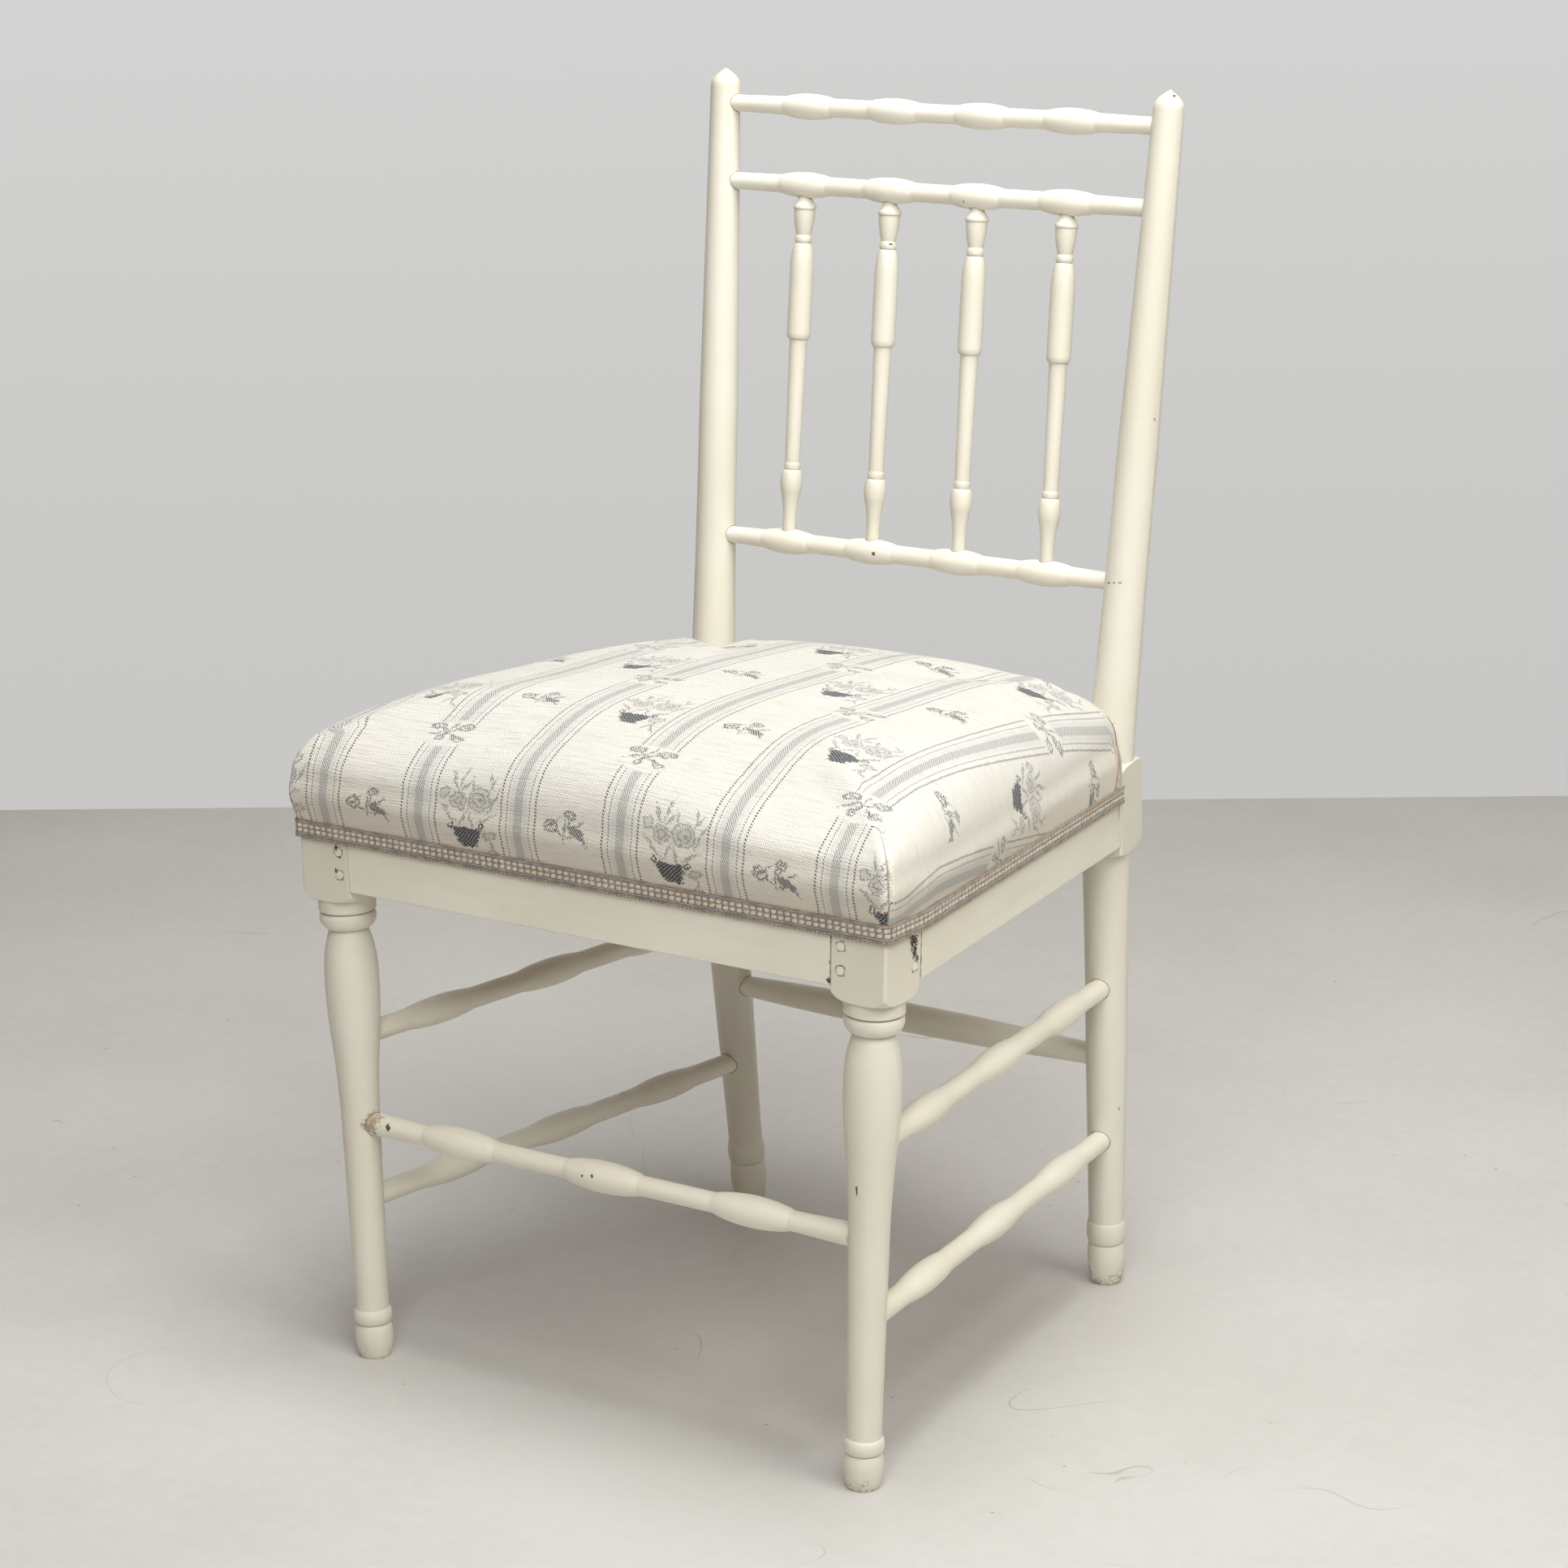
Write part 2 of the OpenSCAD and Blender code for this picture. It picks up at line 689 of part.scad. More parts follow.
module back_rail_rod(z) {
    a = mirrored(upper_post_axis(z));
    b = upper_post_axis(z);
    between(a, b)
        swelled_rod(norm(b - a), back_rail_end_radius, back_rail_radius,
                    back_rail_swelling_radius, back_rail_swelling_length,
                    spindle_spacing, spindle_count, post_block_radius);
}

function spindle_foot(i) = [spindle_x(i), upper_post_axis(lower_height).y, lower_height];
function spindle_head(i) = [spindle_x(i), upper_post_axis(middle_height).y, middle_height];

module crest_rail() { color("cornsilk") back_rail_rod(crest_height); }

module middle_rail() {
    color("cornsilk") difference() {
        back_rail_rod(middle_height);
        for (i = [1 : spindle_count])
            socket(spindle_head(i), spindle_foot(i), spindle_end_radius);
    }
}

module lower_rail() {
    color("cornsilk") difference() {
        back_rail_rod(lower_height);
        for (i = [1 : spindle_count])
            socket(spindle_foot(i), spindle_head(i), spindle_end_radius);
    }
}

// Spindle: bulb, bead, shaft, step, long upper part, ring, urn and cap
function along_spindle(share) =
    back_rail_swelling_radius + share * (spindle_length - 2 * back_rail_swelling_radius);

module spindle(i) {
    color("linen") between(spindle_foot(i), spindle_head(i)) turned([
        [0, spindle_end_radius, STRAIGHT],
        [along_spindle(foot_share), spindle_end_radius, GATHER],
        [along_spindle(calf_share), spindle_calf_radius, SETTLE],
        [along_spindle(bulb_share), spindle_bulb_radius, ROUND_IN],
        [along_spindle(bulb_top_share), spindle_ankle_radius, ROUND_OUT],
        [along_spindle(bead_share), spindle_bead_radius, ROUND_IN],
        [along_spindle(ankle_share), spindle_ankle_radius, STRAIGHT],
        [along_spindle(step_share), spindle_shaft_radius, ROUND_OUT],
        [along_spindle(step_top_share), spindle_upper_radius, STRAIGHT],
        [along_spindle(shoulder_share), spindle_upper_radius, ROUND_IN],
        [along_spindle(ring_base_share), spindle_groove_radius, ROUND_OUT],
        [along_spindle(ring_share), spindle_ring_radius, ROUND_IN],
        [along_spindle(groove_share), spindle_groove_radius, SETTLE],
        [along_spindle(urn_share), spindle_urn_radius, STRAIGHT],
        [along_spindle(cap_base_share), spindle_cap_radius, STRAIGHT],
        [along_spindle(cap_share), spindle_cap_radius, STRAIGHT],
        [along_spindle(1), spindle_end_radius, STRAIGHT],
        [spindle_length, spindle_end_radius, STRAIGHT]
    ]);
}

module spindle_1() { spindle(1); }
module spindle_2() { spindle(2); }
module spindle_3() { spindle(3); }
module spindle_4() { spindle(4); }

module front_stretcher() {
    a = mirrored(front_stretcher_end);
    b = front_stretcher_end;
    color("cornsilk") between(a, b)
        swelled_rod(norm(b - a), front_stretcher_end_radius, front_stretcher_radius,
                    front_stretcher_swelling_radius, stretcher_swelling_length,
                    front_stretcher_pitch, stretcher_swellings, vase_radius);
}

// The back stretcher is plain and only swells slowly towards its middle
module back_stretcher() {
    a = mirrored(back_stretcher_end);
    b = back_stretcher_end;
    length = norm(b - a);
    grip = post_block_radius;
    color("cornsilk") between(a, b) turned([
        [0, back_stretcher_end_radius, STRAIGHT],
        [grip, back_stretcher_end_radius, SETTLE],
        [length / 2, back_stretcher_radius, GATHER],
        [length - grip, back_stretcher_end_radius, STRAIGHT],
        [length, back_stretcher_end_radius, STRAIGHT]
    ]);
}

module side_stretcher(z) {
    a = front_axis(z);
    b = lower_post_axis(z);
    between(a, b)
        swelled_rod(norm(b - a), side_stretcher_radius, side_stretcher_radius,
                    side_stretcher_swelling_radius, stretcher_swelling_length,
                    side_stretcher_pitch, stretcher_swellings, vase_radius);
}

module upper_stretcher_left() { color("cornsilk") sided(-1) side_stretcher(upper_stretcher_height); }
module upper_stretcher_right() { color("cornsilk") sided(1) side_stretcher(upper_stretcher_height); }
module lower_stretcher_left() { color("cornsilk") sided(-1) side_stretcher(lower_stretcher_height); }
module lower_stretcher_right() { color("cornsilk") sided(1) side_stretcher(lower_stretcher_height); }

// Diagonal braces glued between the rails' inner faces, clear of the blocks
module brace_bar(corner, heading) {
    translate([corner.x, corner.y, rail_middle - brace_height / 2]) rotate([0, 0, heading])
        translate([brace_room, -overrun, 0]) cube([brace_thickness, 2 * overrun, brace_height]);
}

module right_front_brace() {
    corner = [front_axis(rail_top).x - front_block / 2, front_y + front_block / 2];
    difference() {
        brace_bar(corner, 135);
        translate([0, front_y - front_block / 2 + rail_thickness - 3 * overrun, 0])
            cube([4 * overrun, 3 * overrun, 2 * rail_top]);
        side_rail_frame() translate([-rail_thickness, -overrun, -rail_height])
            cube([2 * overrun, seat_depth + overrun, 2 * rail_height]);
    }
}

module right_back_brace() {
    corner = post_middle + back_block / 2 * [-cos(splay) + sin(splay), -sin(splay) - cos(splay)];
    difference() {
        brace_bar(corner, 225 + splay / 2);
        back_rail_frame()
            translate([-back_spacing, back_rail_face - rail_thickness, rail_underside - rail_height])
                cube([2 * back_spacing, 2 * overrun, 3 * rail_height]);
        side_rail_frame() translate([-rail_thickness, -overrun, -rail_height])
            cube([2 * overrun, seat_depth + 2 * overrun, 2 * rail_height]);
    }
}

module corner_brace_front_left() { color("peru") sided(-1) right_front_brace(); }
module corner_brace_front_right() { color("peru") sided(1) right_front_brace(); }
module corner_brace_back_left() { color("peru") sided(-1) right_back_brace(); }
module corner_brace_back_right() { color("peru") sided(1) right_back_brace(); }

// Lines of the seat in plan, at the top of the rails
splay_out = [cos(splay), sin(splay)];
splay_back = [-sin(splay), cos(splay)];
post_plan = [lower_post_axis(rail_top).x, lower_post_axis(rail_top).y];
seat_front = front_y - front_block / 2 - cloth_gap;
seat_corner_x = front_axis(rail_top).x + front_block / 2 + cloth_gap;
seat_corner = block_corner + cloth_gap;
flush_plan = flush_corner + (rail_height / 2 * sin(front_lean) + cloth_gap) * splay_out;
flush_along = (post_plan - flush_plan) * splay_back - back_block / 2;
post_reach = back_block / 2 + post_room;
cover_floor = rail_top - cover_overlap;
back_face_at_floor = lower_post_axis(cover_floor).y + back_rail_face / cos(kick_angle);
seat_back = back_face_at_floor + cloth_gap;
function side_x(y, inset) = flush_plan.x - (y - flush_plan.y) * tan(splay) - inset / cos(splay);

// Webbing strips woven over and under each other, flat where they cross
function woven_line(reach_a, reach_b, places, overs, level) = concat(
    [[-reach_a, level]],
    [for (i = [0 : len(places) - 1]) if (overs[i])
        for (p = [[-1, 1, 0], [-1, 0, 1], [1, 0, 1], [1, 1, 0]])
            [places[i] + p[0] * (webbing_width / 2 + webbing_ease + p[1] * webbing_ramp),
             level + p[2] * webbing_thickness]],
    [[reach_b, level]]);

module woven_strip(reach_a, reach_b, places, overs) {
    low = woven_line(reach_a, reach_b, places, overs, 0);
    high = woven_line(reach_a, reach_b, places, overs, webbing_thickness);
    backwards = [for (i = [len(high) - 1 : -1 : 0]) high[i]];
    translate([0, webbing_width / 2, 0]) rotate([90, 0, 0])
        linear_extrude(webbing_width) polygon(concat(low, backwards));
}

webbing_middle = depth_shift;
function lengthwise_x(i) = (i - (webbing_front_count - 1) / 2) * webbing_pitch;
function crosswise_y(j) = (j - (webbing_side_count - 1) / 2) * cross_webbing_pitch;

module webbing_lengthwise() {
    places = [for (j = [0 : webbing_side_count - 1]) crosswise_y(j)];
    reach_front = webbing_middle - seat_front - webbing_setback;
    reach_back = post_plan.y + back_rail_face - webbing_setback - webbing_middle;
    color("tan") for (i = [0 : webbing_front_count - 1])
        translate([lengthwise_x(i), webbing_middle, rail_top]) rotate([0, 0, 90])
            woven_strip(reach_front, reach_back, places,
                        [for (j = [0 : webbing_side_count - 1]) (i + j) % 2 == 0]);
}

module webbing_crosswise() {
    places = [for (i = [0 : webbing_front_count - 1]) lengthwise_x(i)];
    color("burlywood") for (j = [0 : webbing_side_count - 1]) {
        y = webbing_middle + crosswise_y(j);
        reach = side_x(y + webbing_width / 2, webbing_setback);
        translate([0, y, rail_top])
            woven_strip(reach, reach, places,
                        [for (i = [0 : webbing_front_count - 1]) (i + j) % 2 == 1]);
    }
}

hessian_bottom = rail_top + 2 * webbing_thickness;
stuffing_bottom = hessian_bottom + hessian_thickness;

module hessian() {
    inset = hessian_inset;
    room = post_reach + inset;
    near_post = post_plan + splay_back * -room;
    side = post_plan + (back_block / 2 - inset) * splay_out + splay_back * -room;
    inside = near_post - room * splay_out;
    behind = seat_back - inset;
    half = [
        [seat_corner_x - inset, seat_front + inset],
        flush_plan - inset * splay_out, side, inside,
        [inside.x - (behind - inside.y) * tan(splay), behind]
    ];
    other = [for (i = [len(half) - 1 : -1 : 0]) [-half[i].x, half[i].y]];
    color("sandybrown") translate([0, 0, hessian_bottom])
        linear_extrude(hessian_thickness) polygon(concat(half, other));
}

// Plan of the seat cover's inner face, right half, from the front to the back.
// A point is [x, y, hem, swell share]; the hem is down on the rails or up over them.
HEM_DOWN = 0;
HEM_UP = 1;
front_edge_shares = [0, 0.3, 0.58, 0.82];
side_edge_shares = [0, 0.28, 0.55, 0.8];
back_edge_shares = [0.75, 0.4];
back_edge_swell_shares = [0.65, 1];
corner_angles = [-90, -68, -45, -22, 0];
post_swell_share = 0.2;
side_swell_fade = 1.5;

function from_post(out, along) = post_plan + out * splay_out + along * splay_back;
outer_line = (flush_plan - post_plan) * splay_out;
inner_line = -post_reach;
front_line = -post_reach;
function inner_back(inset) =
    let (p = from_post(inner_line - inset, 0)) [p.x - (seat_back - p.y) * tan(splay), seat_back];

half_plan = concat(
    [for (s = front_edge_shares) [(seat_corner_x - seat_corner) * s, seat_front, HEM_DOWN, 1]],
    [for (a = corner_angles)
        [seat_corner_x - seat_corner + seat_corner * cos(a),
         seat_front + seat_corner + seat_corner * sin(a), HEM_DOWN, 1]],
    [for (s = side_edge_shares)
        let (p = flush_plan + s * (flush_along - post_room) * splay_back)
            [p.x, p.y, HEM_DOWN, 1 - pow(s, side_swell_fade)]],
    [for (q = [
        [outer_line, front_line - hem_step - post_corner / 2, HEM_DOWN, 0],
        [outer_line, front_line - post_corner / 2, HEM_UP, 0],
        [outer_line - post_corner / 2, front_line, HEM_UP, 0],
        [0, front_line, HEM_UP, post_swell_share],
        [inner_line, front_line, HEM_UP, post_swell_share],
        [inner_line, 0, HEM_UP, post_swell_share]])
        let (p = from_post(q[0], q[1])) [p.x, p.y, q[2], q[3]]],
    [for (q = [
        [0, post_corner / 2, HEM_UP],
        [post_corner / 2, 0, HEM_UP],
        [post_corner / 2 + hem_step, 0, HEM_DOWN]])
        let (p = inner_back(q[0])) [p.x, p.y - q[1], q[2], post_swell_share]],
    [for (i = [0 : len(back_edge_shares) - 1])
        [inner_back(0).x * back_edge_shares[i], seat_back, HEM_DOWN, back_edge_swell_shares[i]]]);

half_count = len(half_plan);
plan = concat(
    half_plan, [[0, seat_back, HEM_DOWN, 1]],
    [for (i = [half_count - 1 : -1 : 1])
        [-half_plan[i][0], half_plan[i][1], half_plan[i][2], half_plan[i][3]]]);
plan_count = len(plan);
function plan_point(i) = let (p = plan[(i + plan_count) % plan_count]) [p[0], p[1]];
function unit2(v) = v / norm(v);
function plan_normal(i) =
    let (a = unit2(plan_point(i) - plan_point(i - 1)), b = unit2(plan_point(i + 1) - plan_point(i)),
         m = unit2(a + b)) [m.y, -m.x] / max(m * a, 0.7);

// The crown is a rounded box: rings shrink towards the middle and turn oval
crown_fullness_out = 3;
crown_fullness_up = 2.1;
crown_angles = [0, 8, 17, 28, 40, 52, 64, 75, 83];
wall_shares = [0, (cover_overlap - gimp_drop) / (cover_overlap + side_height), 0.5, 0.75];
oval_share = 0.8;
seat_middle = [0, depth_shift];
oval = [seat_corner_x, (seat_back - seat_front) / 2];
wall_top = rail_top + side_height;
gimp_top = rail_top - gimp_drop;

function wall_swell(z) = side_swell * sin(90 * max(0, min(1, (z - gimp_top) / (wall_top - gimp_top))));
function oval_point(p) =
    let (d = p - seat_middle) seat_middle + d / norm([d.x / oval.x, d.y / oval.y]);

// Wall rings rise from the hem, or from a level floor for the stuffing
function wall_ring(share, offset, floor_z) = [
    for (i = [0 : plan_count - 1])
        let (hem = floor_z > 0 ? floor_z : plan[i][2] == HEM_DOWN ? cover_floor : rail_top + cloth_gap,
             z = hem + (wall_top - hem) * share,
             p = plan_point(i) + (wall_swell(z) * plan[i][3] + offset) * plan_normal(i))
            [p.x, p.y, z]
];

function crown_height(y, offset) =
    let (back = max(0, min(2, (y - seat_middle.y) / oval.y + 1)) / 2)
        (seat_crown - side_height) * (1 - crown_fall * back * back) + offset - cover_thickness;

function crown_ring(angle, offset) =
    let (s = pow(cos(angle), 2 / crown_fullness_out), up = pow(sin(angle), 2 / crown_fullness_up),
         oval_part = oval_share * (1 - s)) [
    for (i = [0 : plan_count - 1])
        let (edge = plan_point(i) + (side_swell * plan[i][3] + offset) * plan_normal(i),
             p = seat_middle + s * ((1 - oval_part) * edge + oval_part * oval_point(edge) - seat_middle))
            [p.x, p.y, wall_top + crown_height(p.y, offset) * up]
];

function skin_rings(offset, floor_z) = concat(
    [for (w = wall_shares) wall_ring(w, offset, floor_z)],
    [for (a = crown_angles) crown_ring(a, offset)]);
function crown_top(offset) = [0, seat_middle.y, wall_top + crown_height(seat_middle.y, offset)];

// Triangles between ring r and the next, facing out, or in when the order is turned
function band(first, second, n) = [
    for (i = [0 : n - 1]) let (j = (i + 1) % n)
        for (t = [[first + i, second + i, first + j], [second + i, second + j, first + j]]) t
];
function cap(first, tip, n) = [for (i = [0 : n - 1]) [first + i, tip, first + (i + 1) % n]];
function turned_over(faces) = [for (f = faces) [f[2], f[1], f[0]]];
function flat(lists) = [for (l = lists) for (v = l) v];

ring_total = len(wall_shares) + len(crown_angles);
function skin_faces(start, n) = concat(
    flat([for (r = [0 : ring_total - 2]) band(start + r * n, start + (r + 1) * n, n)]),
    cap(start + (ring_total - 1) * n, start + ring_total * n, n));

module seat_cover() {
    n = plan_count;
    inner_start = ring_total * n + 1;
    points = concat(flat(skin_rings(cover_thickness, 0)), [crown_top(cover_thickness)],
                    flat(skin_rings(0, 0)), [crown_top(0)]);
    faces = concat(skin_faces(0, n), turned_over(skin_faces(inner_start, n)),
                   turned_over(band(0, inner_start, n)));
    color("whitesmoke") polyhedron(points, faces);
}

module stuffing() {
    n = plan_count;
    tip = ring_total * n;
    points = concat(flat(skin_rings(-cloth_gap, stuffing_bottom)), [crown_top(-cloth_gap)],
                    [[0, seat_middle.y, stuffing_bottom]]);
    faces = concat(skin_faces(0, n), turned_over(cap(0, tip + 1, n)));
    color("khaki") polyhedron(points, faces);
}

// Gimp braid: two cords with woven rows between them, nailed round the rails
gimp_line = cover_thickness + cloth_gap;

function gimp_path(offset) =
    let (out = gimp_line + offset, end = from_post(outer_line + out, -back_block / 2 - gimp_room), r = seat_corner + out,
         half = concat(
             [for (a = corner_angles)
                 [seat_corner_x - seat_corner + r * cos(a), seat_front + seat_corner + r * sin(a)]],
             [flush_plan + out * splay_out, end]))
        concat([for (i = [len(half) - 1 : -1 : 0]) [-half[i].x, half[i].y]], half);

module gimp_layer(bottom, top, thickness) {
    outer = gimp_path(thickness);
    inner = gimp_path(0);
    backwards = [for (i = [len(inner) - 1 : -1 : 0]) inner[i]];
    translate([0, 0, bottom]) linear_extrude(top - bottom) polygon(concat(outer, backwards));
}

module gimp_back_layer(bottom, top, thickness) {
    reach = inner_back(0).x - gimp_line - post_corner / 2 - hem_step;
    translate([-reach, seat_back + gimp_line, bottom]) cube([2 * reach, thickness, top - bottom]);
}

gimp_bottom = gimp_top - gimp_height;
gimp_middle = gimp_top - gimp_height / 2;
gimp_row = gimp_height / 2 - 2 * gimp_cord;

// Heights and thickness of the braid's layers, from the bottom up
gimp_layers = [
    [gimp_bottom, gimp_bottom + gimp_cord, gimp_thickness - gimp_valley],
    [gimp_bottom + gimp_cord, gimp_bottom + 2 * gimp_cord, gimp_thickness],
    [gimp_bottom + 2 * gimp_cord, gimp_middle - gimp_valley / 2, gimp_thickness - gimp_valley / 2],
    [gimp_middle - gimp_valley / 2, gimp_middle + gimp_valley / 2, gimp_thickness - gimp_valley],
    [gimp_middle + gimp_valley / 2, gimp_top - 2 * gimp_cord, gimp_thickness - gimp_valley / 2],
    [gimp_top - 2 * gimp_cord, gimp_top - gimp_cord, gimp_thickness],
    [gimp_top - gimp_cord, gimp_top, gimp_thickness - gimp_valley]
];

module gimp_braid() {
    color("rosybrown") union() {
        for (l = gimp_layers) gimp_layer(l[0], l[1], l[2]);
    }
}

module gimp_braid_back() {
    color("rosybrown") union() {
        for (l = gimp_layers) gimp_back_layer(l[0], l[1], l[2]);
    }
}

front_leg_left();
front_leg_right();
back_post_left();
back_post_right();
front_rail();
back_rail();
side_rail_left();
side_rail_right();
crest_rail();
middle_rail();
lower_rail();
spindle_1();
spindle_2();
spindle_3();
spindle_4();
front_stretcher();
back_stretcher();
upper_stretcher_left();
upper_stretcher_right();
lower_stretcher_left();
lower_stretcher_right();
corner_brace_front_left();
corner_brace_front_right();
corner_brace_back_left();
corner_brace_back_right();
front_rail_pegs();
side_rail_pegs();
webbing_lengthwise();
webbing_crosswise();
hessian();
stuffing();
seat_cover();
gimp_braid();
gimp_braid_back();
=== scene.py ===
"""Looks of the gustavian dining chair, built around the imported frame.

Cushion, braid, threads, chips and woven motifs are laid out in millimetres, the rest in metres."""
import math
from functools import reduce

import bpy
import numpy as np
from mathutils import Matrix, Vector, noise
from mathutils.bvhtree import BVHTree


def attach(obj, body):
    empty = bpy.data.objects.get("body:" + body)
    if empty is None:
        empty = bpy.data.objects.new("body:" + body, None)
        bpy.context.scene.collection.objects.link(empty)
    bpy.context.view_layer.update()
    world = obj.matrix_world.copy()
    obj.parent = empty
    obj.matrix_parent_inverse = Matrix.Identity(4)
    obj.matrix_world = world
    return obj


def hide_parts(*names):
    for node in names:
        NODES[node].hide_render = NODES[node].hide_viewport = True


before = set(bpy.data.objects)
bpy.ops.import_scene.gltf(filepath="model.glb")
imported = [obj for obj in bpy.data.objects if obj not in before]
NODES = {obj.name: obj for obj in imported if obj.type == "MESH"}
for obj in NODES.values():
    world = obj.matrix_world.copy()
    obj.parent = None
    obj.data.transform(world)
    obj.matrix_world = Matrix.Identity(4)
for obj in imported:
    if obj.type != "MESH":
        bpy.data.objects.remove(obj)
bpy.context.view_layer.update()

MM = 0.001


# ---------------- small helpers
def add_object(name, data):
    obj = bpy.data.objects.new(name, data)
    bpy.context.scene.collection.objects.link(obj)
    return obj


def new_object(name, verts, faces, smooth=True):
    mesh = bpy.data.meshes.new(name)
    mesh.from_pydata([tuple(v) for v in verts], [], [tuple(f) for f in faces])
    mesh.update()
    mesh.polygons.foreach_set("use_smooth", [smooth] * len(mesh.polygons))
    return add_object(name, mesh)


def per_vertex(obj, what):
    values = np.zeros(len(obj.data.vertices) * 3)
    obj.data.vertices.foreach_get(what, values)
    return values.reshape(-1, 3)


def coords(obj):
    return per_vertex(obj, "co")


def set_coords(obj, co):
    obj.data.vertices.foreach_set("co", np.asarray(co, np.float32).ravel())
    obj.data.update()


def smoothstep(x, a, b):
    t = np.clip((np.asarray(x, float) - a) / (b - a), 0, 1)
    return t * t * (3 - 2 * t)


def quads(rows, n, closed=False):
    """Faces between rows of n points; closed rows join their last point to the first."""
    return [(r * n + i, r * n + (i + 1) % n, (r + 1) * n + (i + 1) % n, (r + 1) * n + i)
            for r in range(rows - 1) for i in range(n if closed else n - 1)]


def scaled(colour, share):
    return tuple(share * c for c in colour)


# ---------------- node graphs
class Graph:
    """Makes a material and its nodes; numbers and sockets mix freely in its calls."""

    def __init__(self, name):
        self.mat = bpy.data.materials.new(name)
        self.mat.use_nodes = True
        self.tree = self.mat.node_tree
        self.tree.nodes.clear()
        self.out = self.node("ShaderNodeOutputMaterial")
        self.shader = self.node("ShaderNodeBsdfPrincipled")
        self.link(self.shader.outputs["BSDF"], self.out.inputs["Surface"])

    def node(self, kind, **inputs):
        n = self.tree.nodes.new(kind)
        for key, v in inputs.items():
            self.put(n.inputs[key], v)
        return n

    def link(self, a, b):
        self.tree.links.new(a, b)

    def put(self, socket, value):
        if isinstance(value, bpy.types.NodeSocket):
            self.link(value, socket)
        else:
            socket.default_value = value

    def fill(self, n, *values):
        """Gives a node's inputs their values in order, and returns its outputs."""
        for socket, v in zip(n.inputs, values):
            self.put(socket, v)
        return n.outputs

    def math(self, op, *values):
        n = self.node("ShaderNodeMath")
        n.operation = op
        return self.fill(n, *values)[0]

    def fold(self, op, values):
        return reduce(lambda a, b: self.math(op, a, b), values)

    def add(self, *v):
        return self.fold("ADD", v)

    def sub(self, a, b):
        return self.math("SUBTRACT", a, b)

    def mul(self, *v):
        return self.fold("MULTIPLY", v)

    def abs(self, x):
        return self.math("ABSOLUTE", x)

    def sin(self, x):
        return self.math("SINE", x)

    def step(self, x, lo, hi, to_lo=0.0, to_hi=1.0):
        n = self.node("ShaderNodeMapRange")
        n.interpolation_type = "SMOOTHSTEP"
        return self.fill(n, x, lo, hi, to_lo, to_hi)["Result"]

    def vector(self, x, y, z):
        return self.fill(self.node("ShaderNodeCombineXYZ"), x, y, z)[0]

    def split(self, v):
        return tuple(self.fill(self.node("ShaderNodeSeparateXYZ"), v))

    def place(self, v, at=(0, 0, 0), turn=0.0, size=(1, 1, 1)):
        """Coordinates inside a frame that is moved, turned about Z and scaled."""
        if turn == 0:
            return self.vmath("MULTIPLY_ADD", v, tuple(1.0 / s for s in size),
                              tuple(-a / s for a, s in zip(at, size)))
        c, s = math.cos(math.radians(turn)), math.sin(math.radians(turn))
        rows = [(c / size[0], s / size[0], 0), (-s / size[1], c / size[1], 0),
                (0, 0, 1 / size[2])]
        turned = self.vector(*(self.vmath("DOT_PRODUCT", v, row) for row in rows))
        back = tuple(-sum(a * r for a, r in zip(at, row)) for row in rows)
        return self.vmath("ADD", turned, back)

    def vmath(self, op, *values):
        n = self.node("ShaderNodeVectorMath")
        n.operation = op
        return self.fill(n, *values)["Value" if op in ("LENGTH", "DOT_PRODUCT") else "Vector"]

    def noise(self, v, scale, detail=3.0, rough=0.5, colour=False, warp=0.0):
        n = self.node("ShaderNodeTexNoise", Vector=v, Scale=scale, Detail=detail, Roughness=rough,
                      Distortion=warp)
        return n.outputs["Color" if colour else "Fac"]

    def cells(self, v, scale):
        return self.node("ShaderNodeTexVoronoi", Vector=v, Scale=scale).outputs["Distance"]

    def mix(self, f, a, b):
        n = self.node("ShaderNodeMix")
        n.data_type = "RGBA"
        for key, v in ((0, f), (6, a), (7, b)):
            if not isinstance(v, bpy.types.NodeSocket) and key > 0:
                v = tuple(v) + (1.0,) if len(v) == 3 else v
            self.put(n.inputs[key], v)
        return n.outputs[2]

    def bump(self, height, distance, strength, normal=None):
        n = self.node("ShaderNodeBump", Strength=strength, Distance=distance, Height=height)
        if normal is not None:
            self.link(normal, n.inputs["Normal"])
        return n.outputs[0]

    def object_coords(self):
        return self.node("ShaderNodeTexCoord").outputs["Object"]

    def attribute(self, name):
        n = self.node("ShaderNodeAttribute")
        n.attribute_name = name
        return n.outputs["Fac"]

    def occlusion(self, distance, inside=False):
        n = self.node("ShaderNodeAmbientOcclusion", Distance=distance)
        n.samples = 6
        n.inside = inside
        return n.outputs["AO"]

    def finish(self, colour, rough, normal=None, **constants):
        self.put(self.shader.inputs["Base Color"], colour)
        self.put(self.shader.inputs["Roughness"], rough)
        if normal is not None:
            self.link(normal, self.shader.inputs["Normal"])
        for key, v in constants.items():
            self.put(self.shader.inputs[key.replace("_", " ")], v)
        return self.mat


def dress(obj, mat):
    obj.data.materials.clear()
    obj.data.materials.append(mat)


